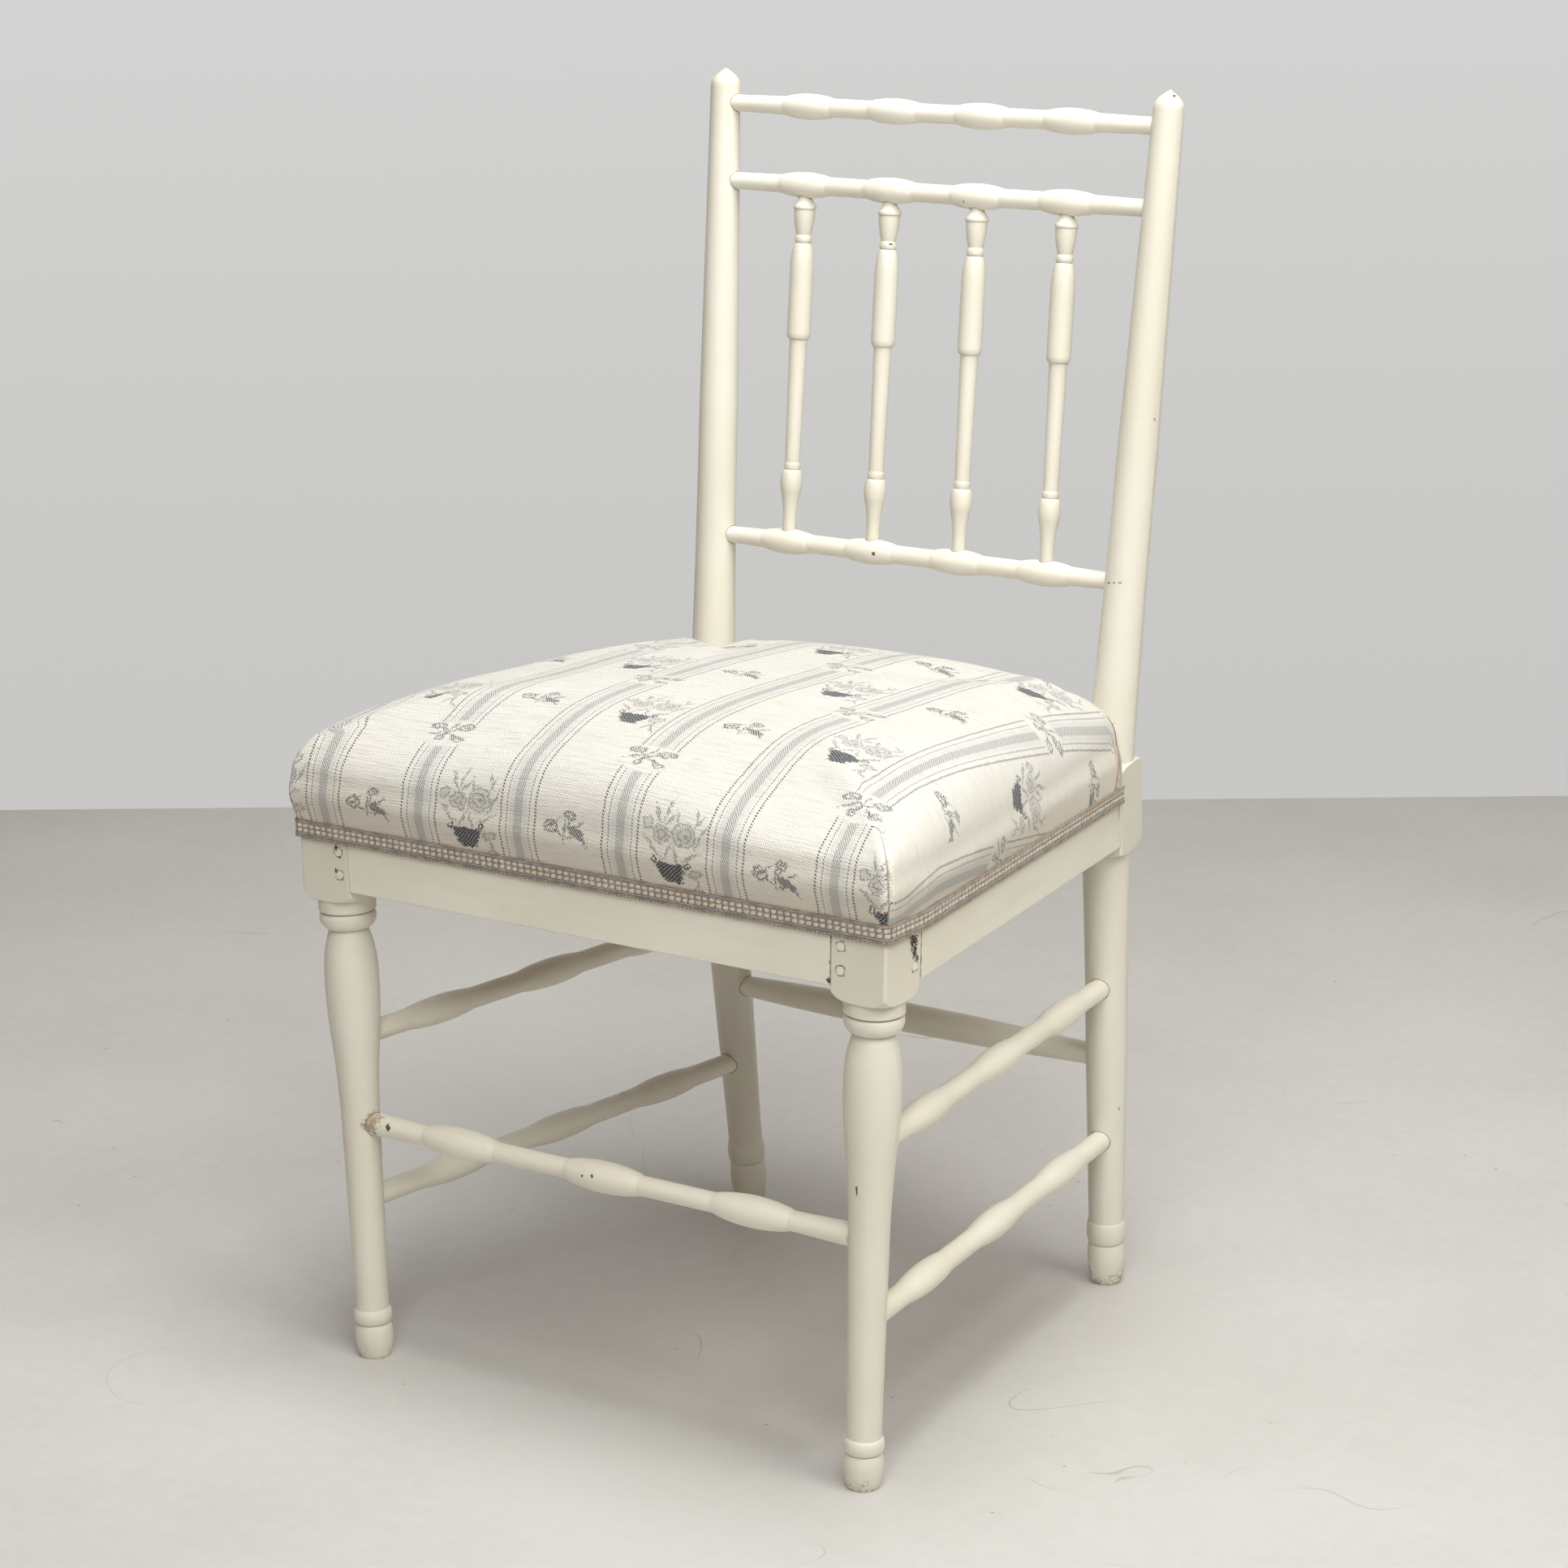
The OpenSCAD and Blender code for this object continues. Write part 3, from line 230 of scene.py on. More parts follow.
# ---------------- seat cushion
# The plan of the cover is the CAD cover's own, in millimetres, with closer points.
SPLAY = math.radians(7.8825)  # of the seat's sides
OUT = np.array([math.cos(SPLAY), math.sin(SPLAY)])
BACK = np.array([-math.sin(SPLAY), math.cos(SPLAY)])
POST_PLAN = np.array([171.755, 169.057])  # centre of the right back post
NOTCH = 21.5  # half width of the cover's cut round a post
FLUSH_PLAN = np.array([240.13, -181.60])  # where the straight side starts
FLUSH_ALONG = 337.7  # its length
CORNER_X, SEAT_FRONT, SEAT_BACK, CORNER_R = 240.139, -224.064, 187.128, 2.3
FOLD_X, FOLD_Y = 237.84, -221.76  # centre of the front corner's rounding
OUTER_LINE = 19.64  # the side's distance from the post's centre
MIDDLE = np.array([0.0, -14.7636])
OVAL = np.array([240.139, 205.596])  # half axes of the oval that the crown nears
WALL_FOOT, WALL_TOP = 394.0, 425.0  # heights between which the wall swells
SWELL, THICK = 6.8, 1.2
HEM, HEM_UP = 384.0, 405.3  # heights of the hem, and of the hem at the posts
FLOOR = 409.3  # height of the cushion's flat underside
CROWN, BACK_FALL = 66, 0.26  # the crown's height, and its share lost towards the back
SHARPNESS, STEEPNESS = 2 / 3, 2 / 2.1  # powers of the crown's outline
TO_OVAL = 0.8
BRAID_GAP = 0.3


def from_post(out, along):
    return POST_PLAN + out * OUT + along * BACK


def cover_plan(step):
    """Rows of x, y, hem height and share of the swell, once round from the front middle."""
    half = [[0, SEAT_FRONT, HEM, 1]]
    for a in np.linspace(-90, 0, 7):
        r = math.radians(a)
        half.append([CORNER_X - CORNER_R + CORNER_R * math.cos(r),
                     SEAT_FRONT + CORNER_R * (1 + math.sin(r)), HEM, 1])
    for s in (0, 0.15, 0.3, 0.45, 0.6, 0.75, 0.88):
        p = FLUSH_PLAN + s * (FLUSH_ALONG - 2.5) * BACK
        half.append([p[0], p[1], HEM, 1 - s ** 1.5])
    for out, along, hem, share in (
            (OUTER_LINE, -NOTCH - 3, HEM, 0), (OUTER_LINE, -NOTCH - 2, HEM_UP, 0),
            (OUTER_LINE - 2, -NOTCH, HEM_UP, 0), (0, -NOTCH, HEM_UP, 0.2),
            (-NOTCH, -NOTCH, HEM_UP, 0.2), (-NOTCH, 0, HEM_UP, 0.2)):
        p = from_post(out, along)
        half.append([p[0], p[1], hem, share])
    inner = POST_PLAN[0] - NOTCH / math.cos(SPLAY) - (SEAT_BACK - POST_PLAN[1]) * math.tan(SPLAY)
    half += [[inner, SEAT_BACK - 2, HEM_UP, 0.2], [inner - 2, SEAT_BACK, HEM_UP, 0.2],
             [inner - 3, SEAT_BACK, HEM, 0.2], [0.75 * inner, SEAT_BACK, HEM, 0.65],
             [0.4 * inner, SEAT_BACK, HEM, 1]]
    knots = half + [[0, SEAT_BACK, HEM, 1]] + [[-k[0], k[1], k[2], k[3]] for k in half[:0:-1]]
    rows = []
    for i, k in enumerate(knots):
        a, b = np.array(k, float), np.array(knots[(i + 1) % len(knots)], float)
        n = 1 if a[2] != b[2] else max(1, math.ceil(np.linalg.norm(b[:2] - a[:2]) / step))
        rows += [a + (b - a) * j / n for j in range(n)]
    return np.array(rows)


def plan_normals(xy):
    """Outward directions at the plan's points, longer at its corners."""
    a = xy - np.roll(xy, 1, 0)
    b = np.roll(xy, -1, 0) - xy
    a /= np.linalg.norm(a, axis=1)[:, None]
    b /= np.linalg.norm(b, axis=1)[:, None]
    m = a + b
    m /= np.linalg.norm(m, axis=1)[:, None]
    return np.c_[m[:, 1], -m[:, 0]] / np.maximum((m * a).sum(1), 0.7)[:, None]


def wall_swell(z):
    return SWELL * np.sin(math.pi / 2 * np.clip((z - WALL_FOOT) / (WALL_TOP - WALL_FOOT), 0, 1))


def crown_height(y, offset):
    back = np.clip((y - MIDDLE[1]) / OVAL[1] + 1, 0, 2) / 2
    return CROWN * (1 - BACK_FALL * back * back) + offset - THICK


def skin(plan, offset, wall_shares, angles, floor=None):
    """Rings of the cover's outer surface, from the hem up over the crown."""
    xy, share = plan[:, :2], plan[:, 3]
    normal = plan_normals(xy)
    rings = []
    for w in wall_shares:
        hem = plan[:, 2] if floor is None else np.full(len(plan), floor)
        z = hem + (WALL_TOP - hem) * w
        rings.append(np.c_[xy + (wall_swell(z) * share + offset)[:, None] * normal, z])
    edge = xy + (SWELL * share + offset)[:, None] * normal
    away = edge - MIDDLE
    oval = MIDDLE + away / np.linalg.norm(away / OVAL, axis=1)[:, None]
    for a in angles:
        s, up = math.cos(a) ** SHARPNESS, math.sin(a) ** STEEPNESS
        part = TO_OVAL * (1 - s)
        p = MIDDLE + s * ((1 - part) * edge + part * oval - MIDDLE)
        rings.append(np.c_[p, WALL_TOP + crown_height(p[:, 1], offset) * up])
    return rings


def closed_rings(rings, tip, foot):
    """Vertices and faces of rings with a cap at each end."""
    n = len(rings[0])
    verts = np.concatenate(rings + [[tip], [foot]])
    faces = quads(len(rings), n, closed=True)
    last, top = (len(rings) - 1) * n, len(rings) * n
    faces += [(last + i, last + (i + 1) % n, top) for i in range(n)]
    faces += [((i + 1) % n, i, top + 1) for i in range(n)]
    return verts, faces


CROWN_ANGLES = np.radians([4, 8, 12, 16, 20.5, 25, 30, 35, 40, 45, 50, 55, 60, 65, 70, 74.5, 79,
                           83, 86.5, 88.8])


def inflated_body():
    """A stuffed body, a little smaller than the cover, swollen by cloth simulation."""
    plan = cover_plan(12.0)
    inset, floor, frames, most = -4.0, FLOOR + 0.7, 20, 0.009
    rings = skin(plan, inset, np.linspace(0, 1, 4), CROWN_ANGLES[::2], floor=floor)
    tip = [0, MIDDLE[1], WALL_TOP + crown_height(MIDDLE[1], inset)]
    verts, faces = closed_rings(rings, tip, [0, MIDDLE[1], floor])
    body = new_object("stuffed_body", verts * MM, faces)
    remesh = body.modifiers.new("remesh", "REMESH")
    remesh.mode = "VOXEL"
    remesh.voxel_size = 0.006
    settle(body)
    start = coords(body)
    pins = body.vertex_groups.new(name="pins")
    pins.add([int(i) for i in np.nonzero(start[:, 2] < (FLOOR + 4) * MM)[0]], 1.0, "REPLACE")
    cloth = body.modifiers.new("cloth", "CLOTH")
    s = cloth.settings
    s.quality = 6
    s.mass = 0.35
    s.tension_stiffness = s.compression_stiffness = 22
    s.shear_stiffness = 8
    s.bending_stiffness = 1.2
    s.use_pressure = True
    s.uniform_pressure_force = 4.0
    s.vertex_group_mass = "pins"
    s.effector_weights.gravity = 0
    cloth.point_cache.frame_start, cloth.point_cache.frame_end = 1, frames
    for f in range(1, frames + 1):
        bpy.context.scene.frame_set(f)
    settle(body)
    bpy.context.scene.frame_set(1)
    move = coords(body) - start
    far = np.linalg.norm(move, axis=1)
    scale = np.where(far > 1e-9, most * np.tanh(far / most) / np.maximum(far, 1e-9), 0)
    set_coords(body, start + move * scale[:, None])
    return body


def settle(obj):
    """Applies an object's modifiers to its mesh."""
    bpy.context.view_layer.update()
    graph = bpy.context.evaluated_depsgraph_get()
    mesh = bpy.data.meshes.new_from_object(obj.evaluated_get(graph))
    obj.modifiers.clear()
    old = obj.data
    obj.data = mesh
    bpy.data.meshes.remove(old)


def tree_of(obj):
    return BVHTree.FromPolygons([v.co.copy() for v in obj.data.vertices],
                                [tuple(p.vertices) for p in obj.data.polygons])


def corner_distance(x, y):
    """How far a point lies past the front corner's fold line, towards the side, in mm."""
    return (np.abs(x) - FOLD_X + (y - FOLD_Y)) / math.sqrt(2)


def lean_on(cushion, body, first):
    """Moves the cover's vertices from the given one on to a stuffed body, at most 4 mm."""
    tree = tree_of(body)
    co, normals = coords(cushion), per_vertex(cushion, "normal")
    reach, most = 0.02, 0.004
    shift = np.zeros(len(co))
    for i in range(first, len(co) - 1):
        d = Vector(normals[i])
        hit = tree.ray_cast(Vector(co[i]) - d * reach, d, 2 * reach)
        if hit[0] is not None:
            shift[i] = hit[3] - reach
    shift = np.clip(shift + THICK * MM, -most, most)
    links = [[] for _ in co]
    for e in cushion.data.edges:
        a, b = e.vertices
        links[a].append(b)
        links[b].append(a)
    for _ in range(3):
        shift = np.array([0.5 * shift[i] + 0.5 * np.mean(shift[k]) for i, k in enumerate(links)])
    above_hem = smoothstep(co[:, 2] / MM, 409, 426)
    set_coords(cushion, co + normals * (shift * above_hem)[:, None])


def make_cushion():
    """The upholstered cushion: one closed form for the cover and the stuffing."""
    plan = cover_plan(7.0)
    rings = skin(plan, THICK, np.linspace(0, 1, 10), CROWN_ANGLES)
    inner = plan[:, :2]
    hem_in = np.c_[inner, plan[:, 2]]
    top_in = np.c_[inner, np.full(len(plan), FLOOR)]
    tip = [0, MIDDLE[1], WALL_TOP + crown_height(MIDDLE[1], THICK)]
    verts, faces = closed_rings([top_in, hem_in] + rings, tip, [0, MIDDLE[1], FLOOR])
    cushion = new_object("seat_cushion", verts * MM, faces)
    body = inflated_body()
    lean_on(cushion, body, 2 * len(plan))
    bpy.data.objects.remove(body)
    sub = cushion.modifiers.new("smooth", "SUBSURF")
    sub.levels = 1
    sub.use_limit_surface = False
    settle(cushion)
    fill_out(cushion)
    detail_cushion(cushion)
    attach(cushion, "root")
    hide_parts("seat_cover", "stuffing")
    return cushion


def fill_out(cushion):
    """A flatter middle and fuller shoulders than the plain crown, up to 10 mm, as photographed.

    The terms, in parts of 200 mm, follow the outline and the places of the woven motifs."""
    co = coords(cushion) / MM
    a, b = co[:, 0] / 200, co[:, 1] / 200
    rise = (-9.6 + 2.4 * a + 9.1 * b + 3.9 * a * a + 1.8 * a * b + 24.0 * b * b
            - 1.2 * a ** 3 + 6.0 * a * a * b - 1.3 * a * b * b - 6.0 * b ** 3
            + 20.9 * a ** 4 - 7.2 * b ** 4 - 25.1 * a * a * b * b)
    most = 10
    co[:, 2] += most * np.tanh(rise / most) * smoothstep(co[:, 2], 420, 455)
    set_coords(cushion, co * MM)


def detail_cushion(cushion):
    """Corner pleats, and the small unevenness that tacks and stuffing leave."""
    co, normals = coords(cushion) / MM, per_vertex(cushion, "normal")
    z = co[:, 2]
    d = corner_distance(co[:, 0], co[:, 1])
    near = np.exp(-(np.abs(co[:, 0]) - 240) ** 2 / 900) * (co[:, 1] < -190)
    height = smoothstep(z, 392, 400) * (1 - smoothstep(z, 424, 446))
    fold = (-2.2 * np.exp(-(d / 1.7) ** 2) + 0.9 * np.exp(-((d + 4.5) / 3.0) ** 2)
            + 0.5 * np.exp(-((d - 5) / 3.5) ** 2))
    outside = (z > HEM + 0.5) & (normals[:, 2] > -0.5)
    move = fold * near * height * outside
    move = np.where(z < FLOOR + 1, np.maximum(move, 0), move)

    def uneven(pace, pace_up, shift=0):
        return np.array([noise.noise(Vector((p[0] * pace, p[1] * pace, p[2] * pace_up + shift)))
                         for p in co])

    move += (1.1 * uneven(0.012, 0.02) * smoothstep(z, 412, 440)
             + 0.45 * uneven(0.05, 0.012, 7) * smoothstep(z, 396, 402)
             * (1 - smoothstep(z, 425, 450))) * outside
    set_coords(cushion, (co + normals * move[:, None]) * MM)


def lay_pattern(cushion):
    """Arc lengths over the cushion from its middle, so that the woven pattern follows it."""
    tree = tree_of(cushion)
    base = FLOOR + 6.0
    turns = np.radians(np.linspace(0, 180, 121))

    def arcs(places, line):
        """For each place, the arc length over the cushion at each turn, from the top."""
        rows = []
        for c in places:
            origin, flat = line(c)
            pts = []
            for t in turns:
                d = Vector((flat[0] * math.cos(t), flat[1] * math.cos(t), math.sin(t)))
                hit = tree.ray_cast(Vector(origin) * MM + d * 0.0001, d, 1.0)
                pts.append(hit[3] / MM if hit[0] is not None else np.nan)
            r = np.array(pts)
            ok = np.isfinite(r)
            r = np.interp(turns, turns[ok], r[ok]) if ok.any() else np.full(len(turns), 1.0)
            x, z = r * np.cos(turns), r * np.sin(turns)
            arc = np.concatenate([[0], np.cumsum(np.hypot(np.diff(x), np.diff(z)))])
            rows.append(arc - np.interp(math.pi / 2, turns, arc))
        return np.array(rows)

    def look_up(rows, places, c, angle):
        """Bilinear reading between the rows and turns."""
        i = np.clip((c - places[0]) / (places[1] - places[0]), 0, len(places) - 1.001)
        j = np.clip((angle - turns[0]) / (turns[1] - turns[0]), 0, len(turns) - 1.001)
        a, b = i.astype(int), j.astype(int)
        s, t = i - a, j - b
        return ((1 - s) * (1 - t) * rows[a, b] + s * (1 - t) * rows[a + 1, b]
                + (1 - s) * t * rows[a, b + 1] + s * t * rows[a + 1, b + 1])

    co = coords(cushion) / MM
    xs = np.linspace(-212, 212, 38)
    ys = np.linspace(-212, 172, 34)
    down = arcs(xs, lambda x: ((x, MIDDLE[1], base), (0, 1)))
    across = arcs(ys, lambda y: ((0, y, base), (1, 0)))
    below = np.maximum(0, base - co[:, 2])
    rise = np.maximum(0, co[:, 2] - base)
    for name, rows, places, other, along, start in (
            ("down", down, xs, co[:, 0], co[:, 1], MIDDLE[1]),
            ("across", across, ys, co[:, 1], co[:, 0], 0.0)):
        c = along - start
        values = start - look_up(rows, places, other, np.arctan2(rise, c)) + np.sign(c) * below
        layer = cushion.data.attributes.new(name, "FLOAT", "POINT")
        layer.data.foreach_set("value", values.astype(np.float32))


# ---------------- gimp braid
def gimp_route():
    """The braid's line round the front and both sides, from the left post to the right one."""
    out = THICK + BRAID_GAP
    r = CORNER_R + out
    half = [[CORNER_X - CORNER_R + r * math.cos(a), SEAT_FRONT + CORNER_R + r * math.sin(a)]
            for a in np.radians(np.linspace(-90, 0, 13))]
    half += [list(FLUSH_PLAN + out * OUT), list(from_post(OUTER_LINE + out, -20))]
    return np.array([[-x, y] for x, y in half[::-1]] + half)


def back_route():
    """The braid's line between the posts at the back."""
    y = SEAT_BACK + THICK + BRAID_GAP
    half = 142.8
    return np.array([[half, y], [-half, y]])


class Line:
    """A level line that can be walked by arc length, with its outward direction."""

    def __init__(self, pts):
        self.pts = pts
        self.at = np.concatenate([[0], np.cumsum(np.linalg.norm(np.diff(pts, axis=0), axis=1))])
        self.length = self.at[-1]
        d = np.diff(pts, axis=0)
        d /= np.linalg.norm(d, axis=1)[:, None]
        n = np.c_[d[:, 1], -d[:, 0]]
        self.normals = np.concatenate([[n[0]], n[:-1] + n[1:], [n[-1]]])
        self.normals /= np.linalg.norm(self.normals, axis=1)[:, None]

    def walk(self, s):
        s = np.clip(np.asarray(s, float), 0, self.length)
        p = np.c_[np.interp(s, self.at, self.pts[:, 0]), np.interp(s, self.at, self.pts[:, 1])]
        n = np.c_[np.interp(s, self.at, self.normals[:, 0]),
                  np.interp(s, self.at, self.normals[:, 1])]
        return p, n / np.linalg.norm(n, axis=1)[:, None]


class Pile:
    """Gathers vertices and faces of many small forms into one mesh."""

    def __init__(self):
        self.verts, self.faces, self.count = [], [], 0

    def put(self, verts, faces):
        self.verts.append(np.asarray(verts, float))
        self.faces += [tuple(int(i) + self.count for i in f) for f in faces]
        self.count += len(verts)

    def make(self, name, mat, slot):
        obj = new_object(name, np.concatenate(self.verts) * MM, self.faces)
        dress(obj, mat)
        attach(obj, "root")
        return obj


def tube(pile, pts, radius, sides=6, taper=0.0):
    """A tube along 3-D points, closed at both ends."""
    pts = np.asarray(pts, float)
    t = np.gradient(pts, axis=0)
    t /= np.maximum(np.linalg.norm(t, axis=1), 1e-9)[:, None]
    ref = np.where(np.abs(t[:, 2:3]) > 0.9, [[1.0, 0, 0]], [[0, 0, 1.0]])
    a = np.cross(t, ref)
    a /= np.linalg.norm(a, axis=1)[:, None]
    b = np.cross(t, a)
    n = len(pts)
    r = radius * (1 - taper * np.linspace(0, 1, n))
    turn = np.linspace(0, 2 * math.pi, sides, endpoint=False)
    rings = pts[:, None] + r[:, None, None] * (np.cos(turn)[None, :, None] * a[:, None]
                                               + np.sin(turn)[None, :, None] * b[:, None])
    ends = [tuple(range(sides))[::-1], tuple((n - 1) * sides + j for j in range(sides))]
    pile.put(rings.reshape(-1, 3), quads(n, sides, closed=True) + ends)


def make_gimp(line, name, node, mats, seed):
    """Edge cords, two rows of woven blocks and a looped lower edge, on a backing strip."""
    rng = np.random.default_rng(seed)
    steps = np.arange(0, line.length + 0.01, 2.2)

    def at(s, out, z):
        p, n = line.walk(s)
        return np.c_[p + n * np.asarray(out).reshape(-1, 1), np.broadcast_to(z, len(p))]

    def wobble(s, pace):
        return 0.12 * np.sin(s * pace) + 0.08 * np.sin(s * pace * 2.7 + 1)

    strip = Pile()
    profile = [(0.0, 381.3), (0.45, 381.3), (0.55, 383.5), (0.45, 387.0), (0.55, 391.0),
               (0.45, 393.6), (0.0, 393.6)]
    m, last = len(steps), len(profile) - 1
    faces = quads(len(profile), m)
    faces += [(i + 1, i, last * m + i, last * m + i + 1) for i in range(m - 1)]
    faces += [tuple(k * m for k in range(last + 1)),
              tuple(k * m + m - 1 for k in range(last, -1, -1))]
    strip.put(np.concatenate([at(steps, out, z) for out, z in profile]), faces)
    root = strip.make(name, mats["backing"], "gimp_braid")
    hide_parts(node)

    # cords: distance out, height, pace of the wobble, radius and sides
    blue, brown, tan, blocks = Pile(), Pile(), Pile(), Pile()
    for pile, out, z, pace, radius, sides in (
            (brown, 0.7, 393.5, 0.31, 0.30, 6), (tan, 0.8, 392.85, 0.26, 0.42, 5),
            (blue, 0.85, 392.0, 0.23, 0.46, 6), (blue, 0.85, 383.9, 0.27, 0.46, 6),
            (tan, 0.6, 382.7, 0.4, 0.34, 5)):
        tube(pile, at(steps, out, z + wobble(steps, pace)), radius, sides)
    loop, loop_pitch = np.arange(0, line.length, 0.55), 3.1
    bob = loop * 2 * math.pi / loop_pitch
    tube(tan, at(loop + 0.5 * np.sin(2 * bob), 0.75 + 0.25 * np.cos(bob),
                 381.75 + 0.95 * np.sin(bob) + wobble(loop, 0.2)), 0.42, 5)

    # Each block is a domed grid, closed by a fan from its rim to a point behind it.
    pitch, grid = 5.3, np.linspace(-1, 1, 5)
    gx, gz = (c.ravel() for c in np.meshgrid(grid, grid))
    dome = ((1 - gx ** 4) * (1 - gz ** 4)) ** 0.6
    rim = (*range(4), *range(4, 24, 5), *range(24, 20, -1), *range(20, 0, -5))
    faces = quads(5, 5) + [(rim[i], rim[i - 1], 25) for i in range(16)]
    for z in (389.8, 386.2):
        s = pitch * (0.5 + rng.uniform(0, 0.1))
        while s < line.length - pitch / 2:
            w, h = pitch * rng.uniform(0.425, 0.47), rng.uniform(1.56, 1.76)
            lean = rng.uniform(-0.06, 0.06)
            front = at(s + gx * w + lean * gz * w, 0.5 + rng.uniform(0.62, 0.82) * dome,
                       z + rng.uniform(-0.12, 0.12) + gz * h)
            blocks.put(np.r_[front, at(np.array([s]), 0.35, z)], faces)
            s += pitch
    for pile, part, key in ((blue, "cords", "blue"), (brown, "edge_cord", "brown"),
                            (tan, "loops", "tan"), (blocks, "blocks", "block")):
        pile.make(f"{name}_{part}", mats[key], "gimp_braid")


def make_threads(cushion, brown, cream):
    """The cover's cut edge beside each back post, its frayed ends and the braid's loose threads."""
    rng = np.random.default_rng(11)
    tree = tree_of(cushion)
    edge, frays = Pile(), Pile()
    for side in (1, -1):
        t = np.linspace(0, 1, 40)
        line = np.c_[side * (197.5 - 11.2 * t ** 3), 135.5 + 10 * np.sin(2.26 * t), 394 + 51 * t]
        hits = [tree.find_nearest(Vector(q * MM)) for q in line]
        pts = np.array([np.array(hit[0]) / MM + np.array(hit[1]) * 0.25 for hit in hits])
        tube(edge, pts, 0.42, 6)
        for i in rng.integers(2, 38, 15):
            way = np.array([side * rng.uniform(0.2, 0.9), rng.uniform(0.2, 1.0),
                            rng.uniform(-0.7, 0.7)])
            way /= np.linalg.norm(way)
            bend = 0.08 * rng.uniform(-1, 1, 3)
            reach = np.linspace(0, rng.uniform(1.6, 3.6), 5)[:, None]
            tube(frays, pts[i] + way * reach + bend * reach ** 2, rng.uniform(0.22, 0.5), 5, 0.4)
        foot = np.array([side * 198.6, 139.6, 383.0])
        for lean, long, r in ((0.5, 11, 0.32), (-0.4, 6, 0.26)):
            drop = np.linspace(0, 1, 9)[:, None]
            sway = np.c_[side * lean * drop + 0.4 * np.sin(5 * drop), 0.3 * np.sin(7 * drop),
                         -long * drop]
            tube(edge, foot + sway, r, 5, 0.3)
    edge.make("cover_edge_threads", brown, "gimp_braid")
    frays.make("cover_frayed_ends", cream, "gimp_braid")


# ---------------- painted wood
# Places where the paint is chipped or worn through, in millimetres: x, y, z, radius and, where
# it isn't 1, how many times taller than wide they are.
CHIPS = [(239, -197, 381, 2.3, 1.4), (239, -193.5, 375.5, 2.4, 2.4), (239, -190, 370, 2.3, 2.4),
         (239, -187, 362.5, 1.2, 2), (195.6, -224, 350.5, 1.4, 1.3), (196.6, -224, 362, 0.5, 2.5),
         (-32.2, 205.9, 751.8, 1.2, 0.6), (-181.3, -209.9, 176.4, 1.6, 1.3),
         (-11.2, -212.9, 175.2, 1), (-3, -212.9, 176.8, 1.1), (-29.6, 177.7, 530.4, 1.2),
         (190.7, 219.4, 866.3, 1.7, 0.8), (-206.5, -224, 377, 1.2, 1.8),
         (-203.8, -224, 371, 0.7, 1.8), (-207.5, -224, 361, 0.8, 1.6),
         (169.2, 173.6, 531.5, 1, 0.5), (174, 172, 532.2, 0.8, 0.5),
         (178.8, 172.7, 532.8, 0.8, 0.5), (212, -217.7, 210, 0.8, 4.5),
         (-193.6, -209.4, 169.1, 1.5), (-196.5, -206, 184.3, 1.3), (206, -222, 340, 0.8),
         (-215, -220, 341, 0.9)]
WORN = [(-196, -207, 176, 9), (203, -206, 172, 6), (158, 186, 216, 7), (-178, 60, 128, 6),
        (159.5, 198, 3, 16), (206, -203, 2, 12), (-206, -203, 2, 12), (-159.5, 198, 2, 12),
        (185, 220, 846, 4), (183.5, 214, 790, 4), (-175, 187, 530, 4), (175.5, 187, 530, 5)]


def nearest(g, p, places):
    """Least distance to the listed places, each measured in its own radius."""
    def distance(x, y, z, r, tall=1):
        size = (r * MM, r * MM, r * MM * tall)
        return g.vmath("LENGTH", g.place(p, at=(x * MM, y * MM, z * MM), size=size))

    return g.fold("MINIMUM", (distance(*place) for place in places))


def peg_outlines(g, x, y, z, ragged):
    """Broken dark outlines of the pegs on the front and side faces of the front blocks."""
    ax = g.abs(x)
    rings = []
    half_side = 3.55
    for across, middle, rise in ((ax, 204.6, 358), (ax, 205.0, 374.3), (y, -189.8, 357.6),
                                 (y, -189.8, 374.2)):
        dx, dz = (g.math("POWER", g.abs(g.sub(g.mul(c, 1000.0), centre)), 4.0)
                  for c, centre in ((across, middle), (z, rise)))
        r = g.math("POWER", g.add(dx, dz), 0.25)
        ring = g.abs(g.sub(g.add(r, g.mul(ragged, 0.5)), half_side))
        if across is ax:
            face = g.step(y, -0.2215, -0.2225)
        else:
            face = g.step(ax, 0.235, 0.2365)
        rings.append(g.mul(g.step(ring, 0.42, 0.12), face))
    return g.fold("MAXIMUM", rings)


def joint_lines(g, x, y, z, ragged, coarse):
    """Dark broken lines where rails meet blocks, in the outer faces."""
    ax = g.abs(x)
    # the front blocks' inner faces lean a little
    lean = g.mul(g.sub(z, 0.347), 0.0317)
    front = g.abs(g.sub(g.sub(ax, lean), 0.1962))
    side = g.abs(g.sub(y, -0.1818))
    back = g.abs(g.sub(y, 0.1515))
    rows = [g.mul(g.step(front, 0.00045, 0.00015), g.step(y, -0.2215, -0.2225), 0.75),
            g.mul(g.step(side, 0.0005, 0.00015), g.step(ax, 0.234, 0.2355), 0.5),
            g.mul(g.step(back, 0.0007, 0.0003), g.step(ax, 0.180, 0.184))]
    band = g.mul(g.step(z, 0.346, 0.348), g.step(z, 0.407, 0.405))
    return g.mul(g.fold("MAXIMUM", rows), band, g.step(ragged, -0.02, 0.1),
                 g.step(coarse, -0.02, 0.06))


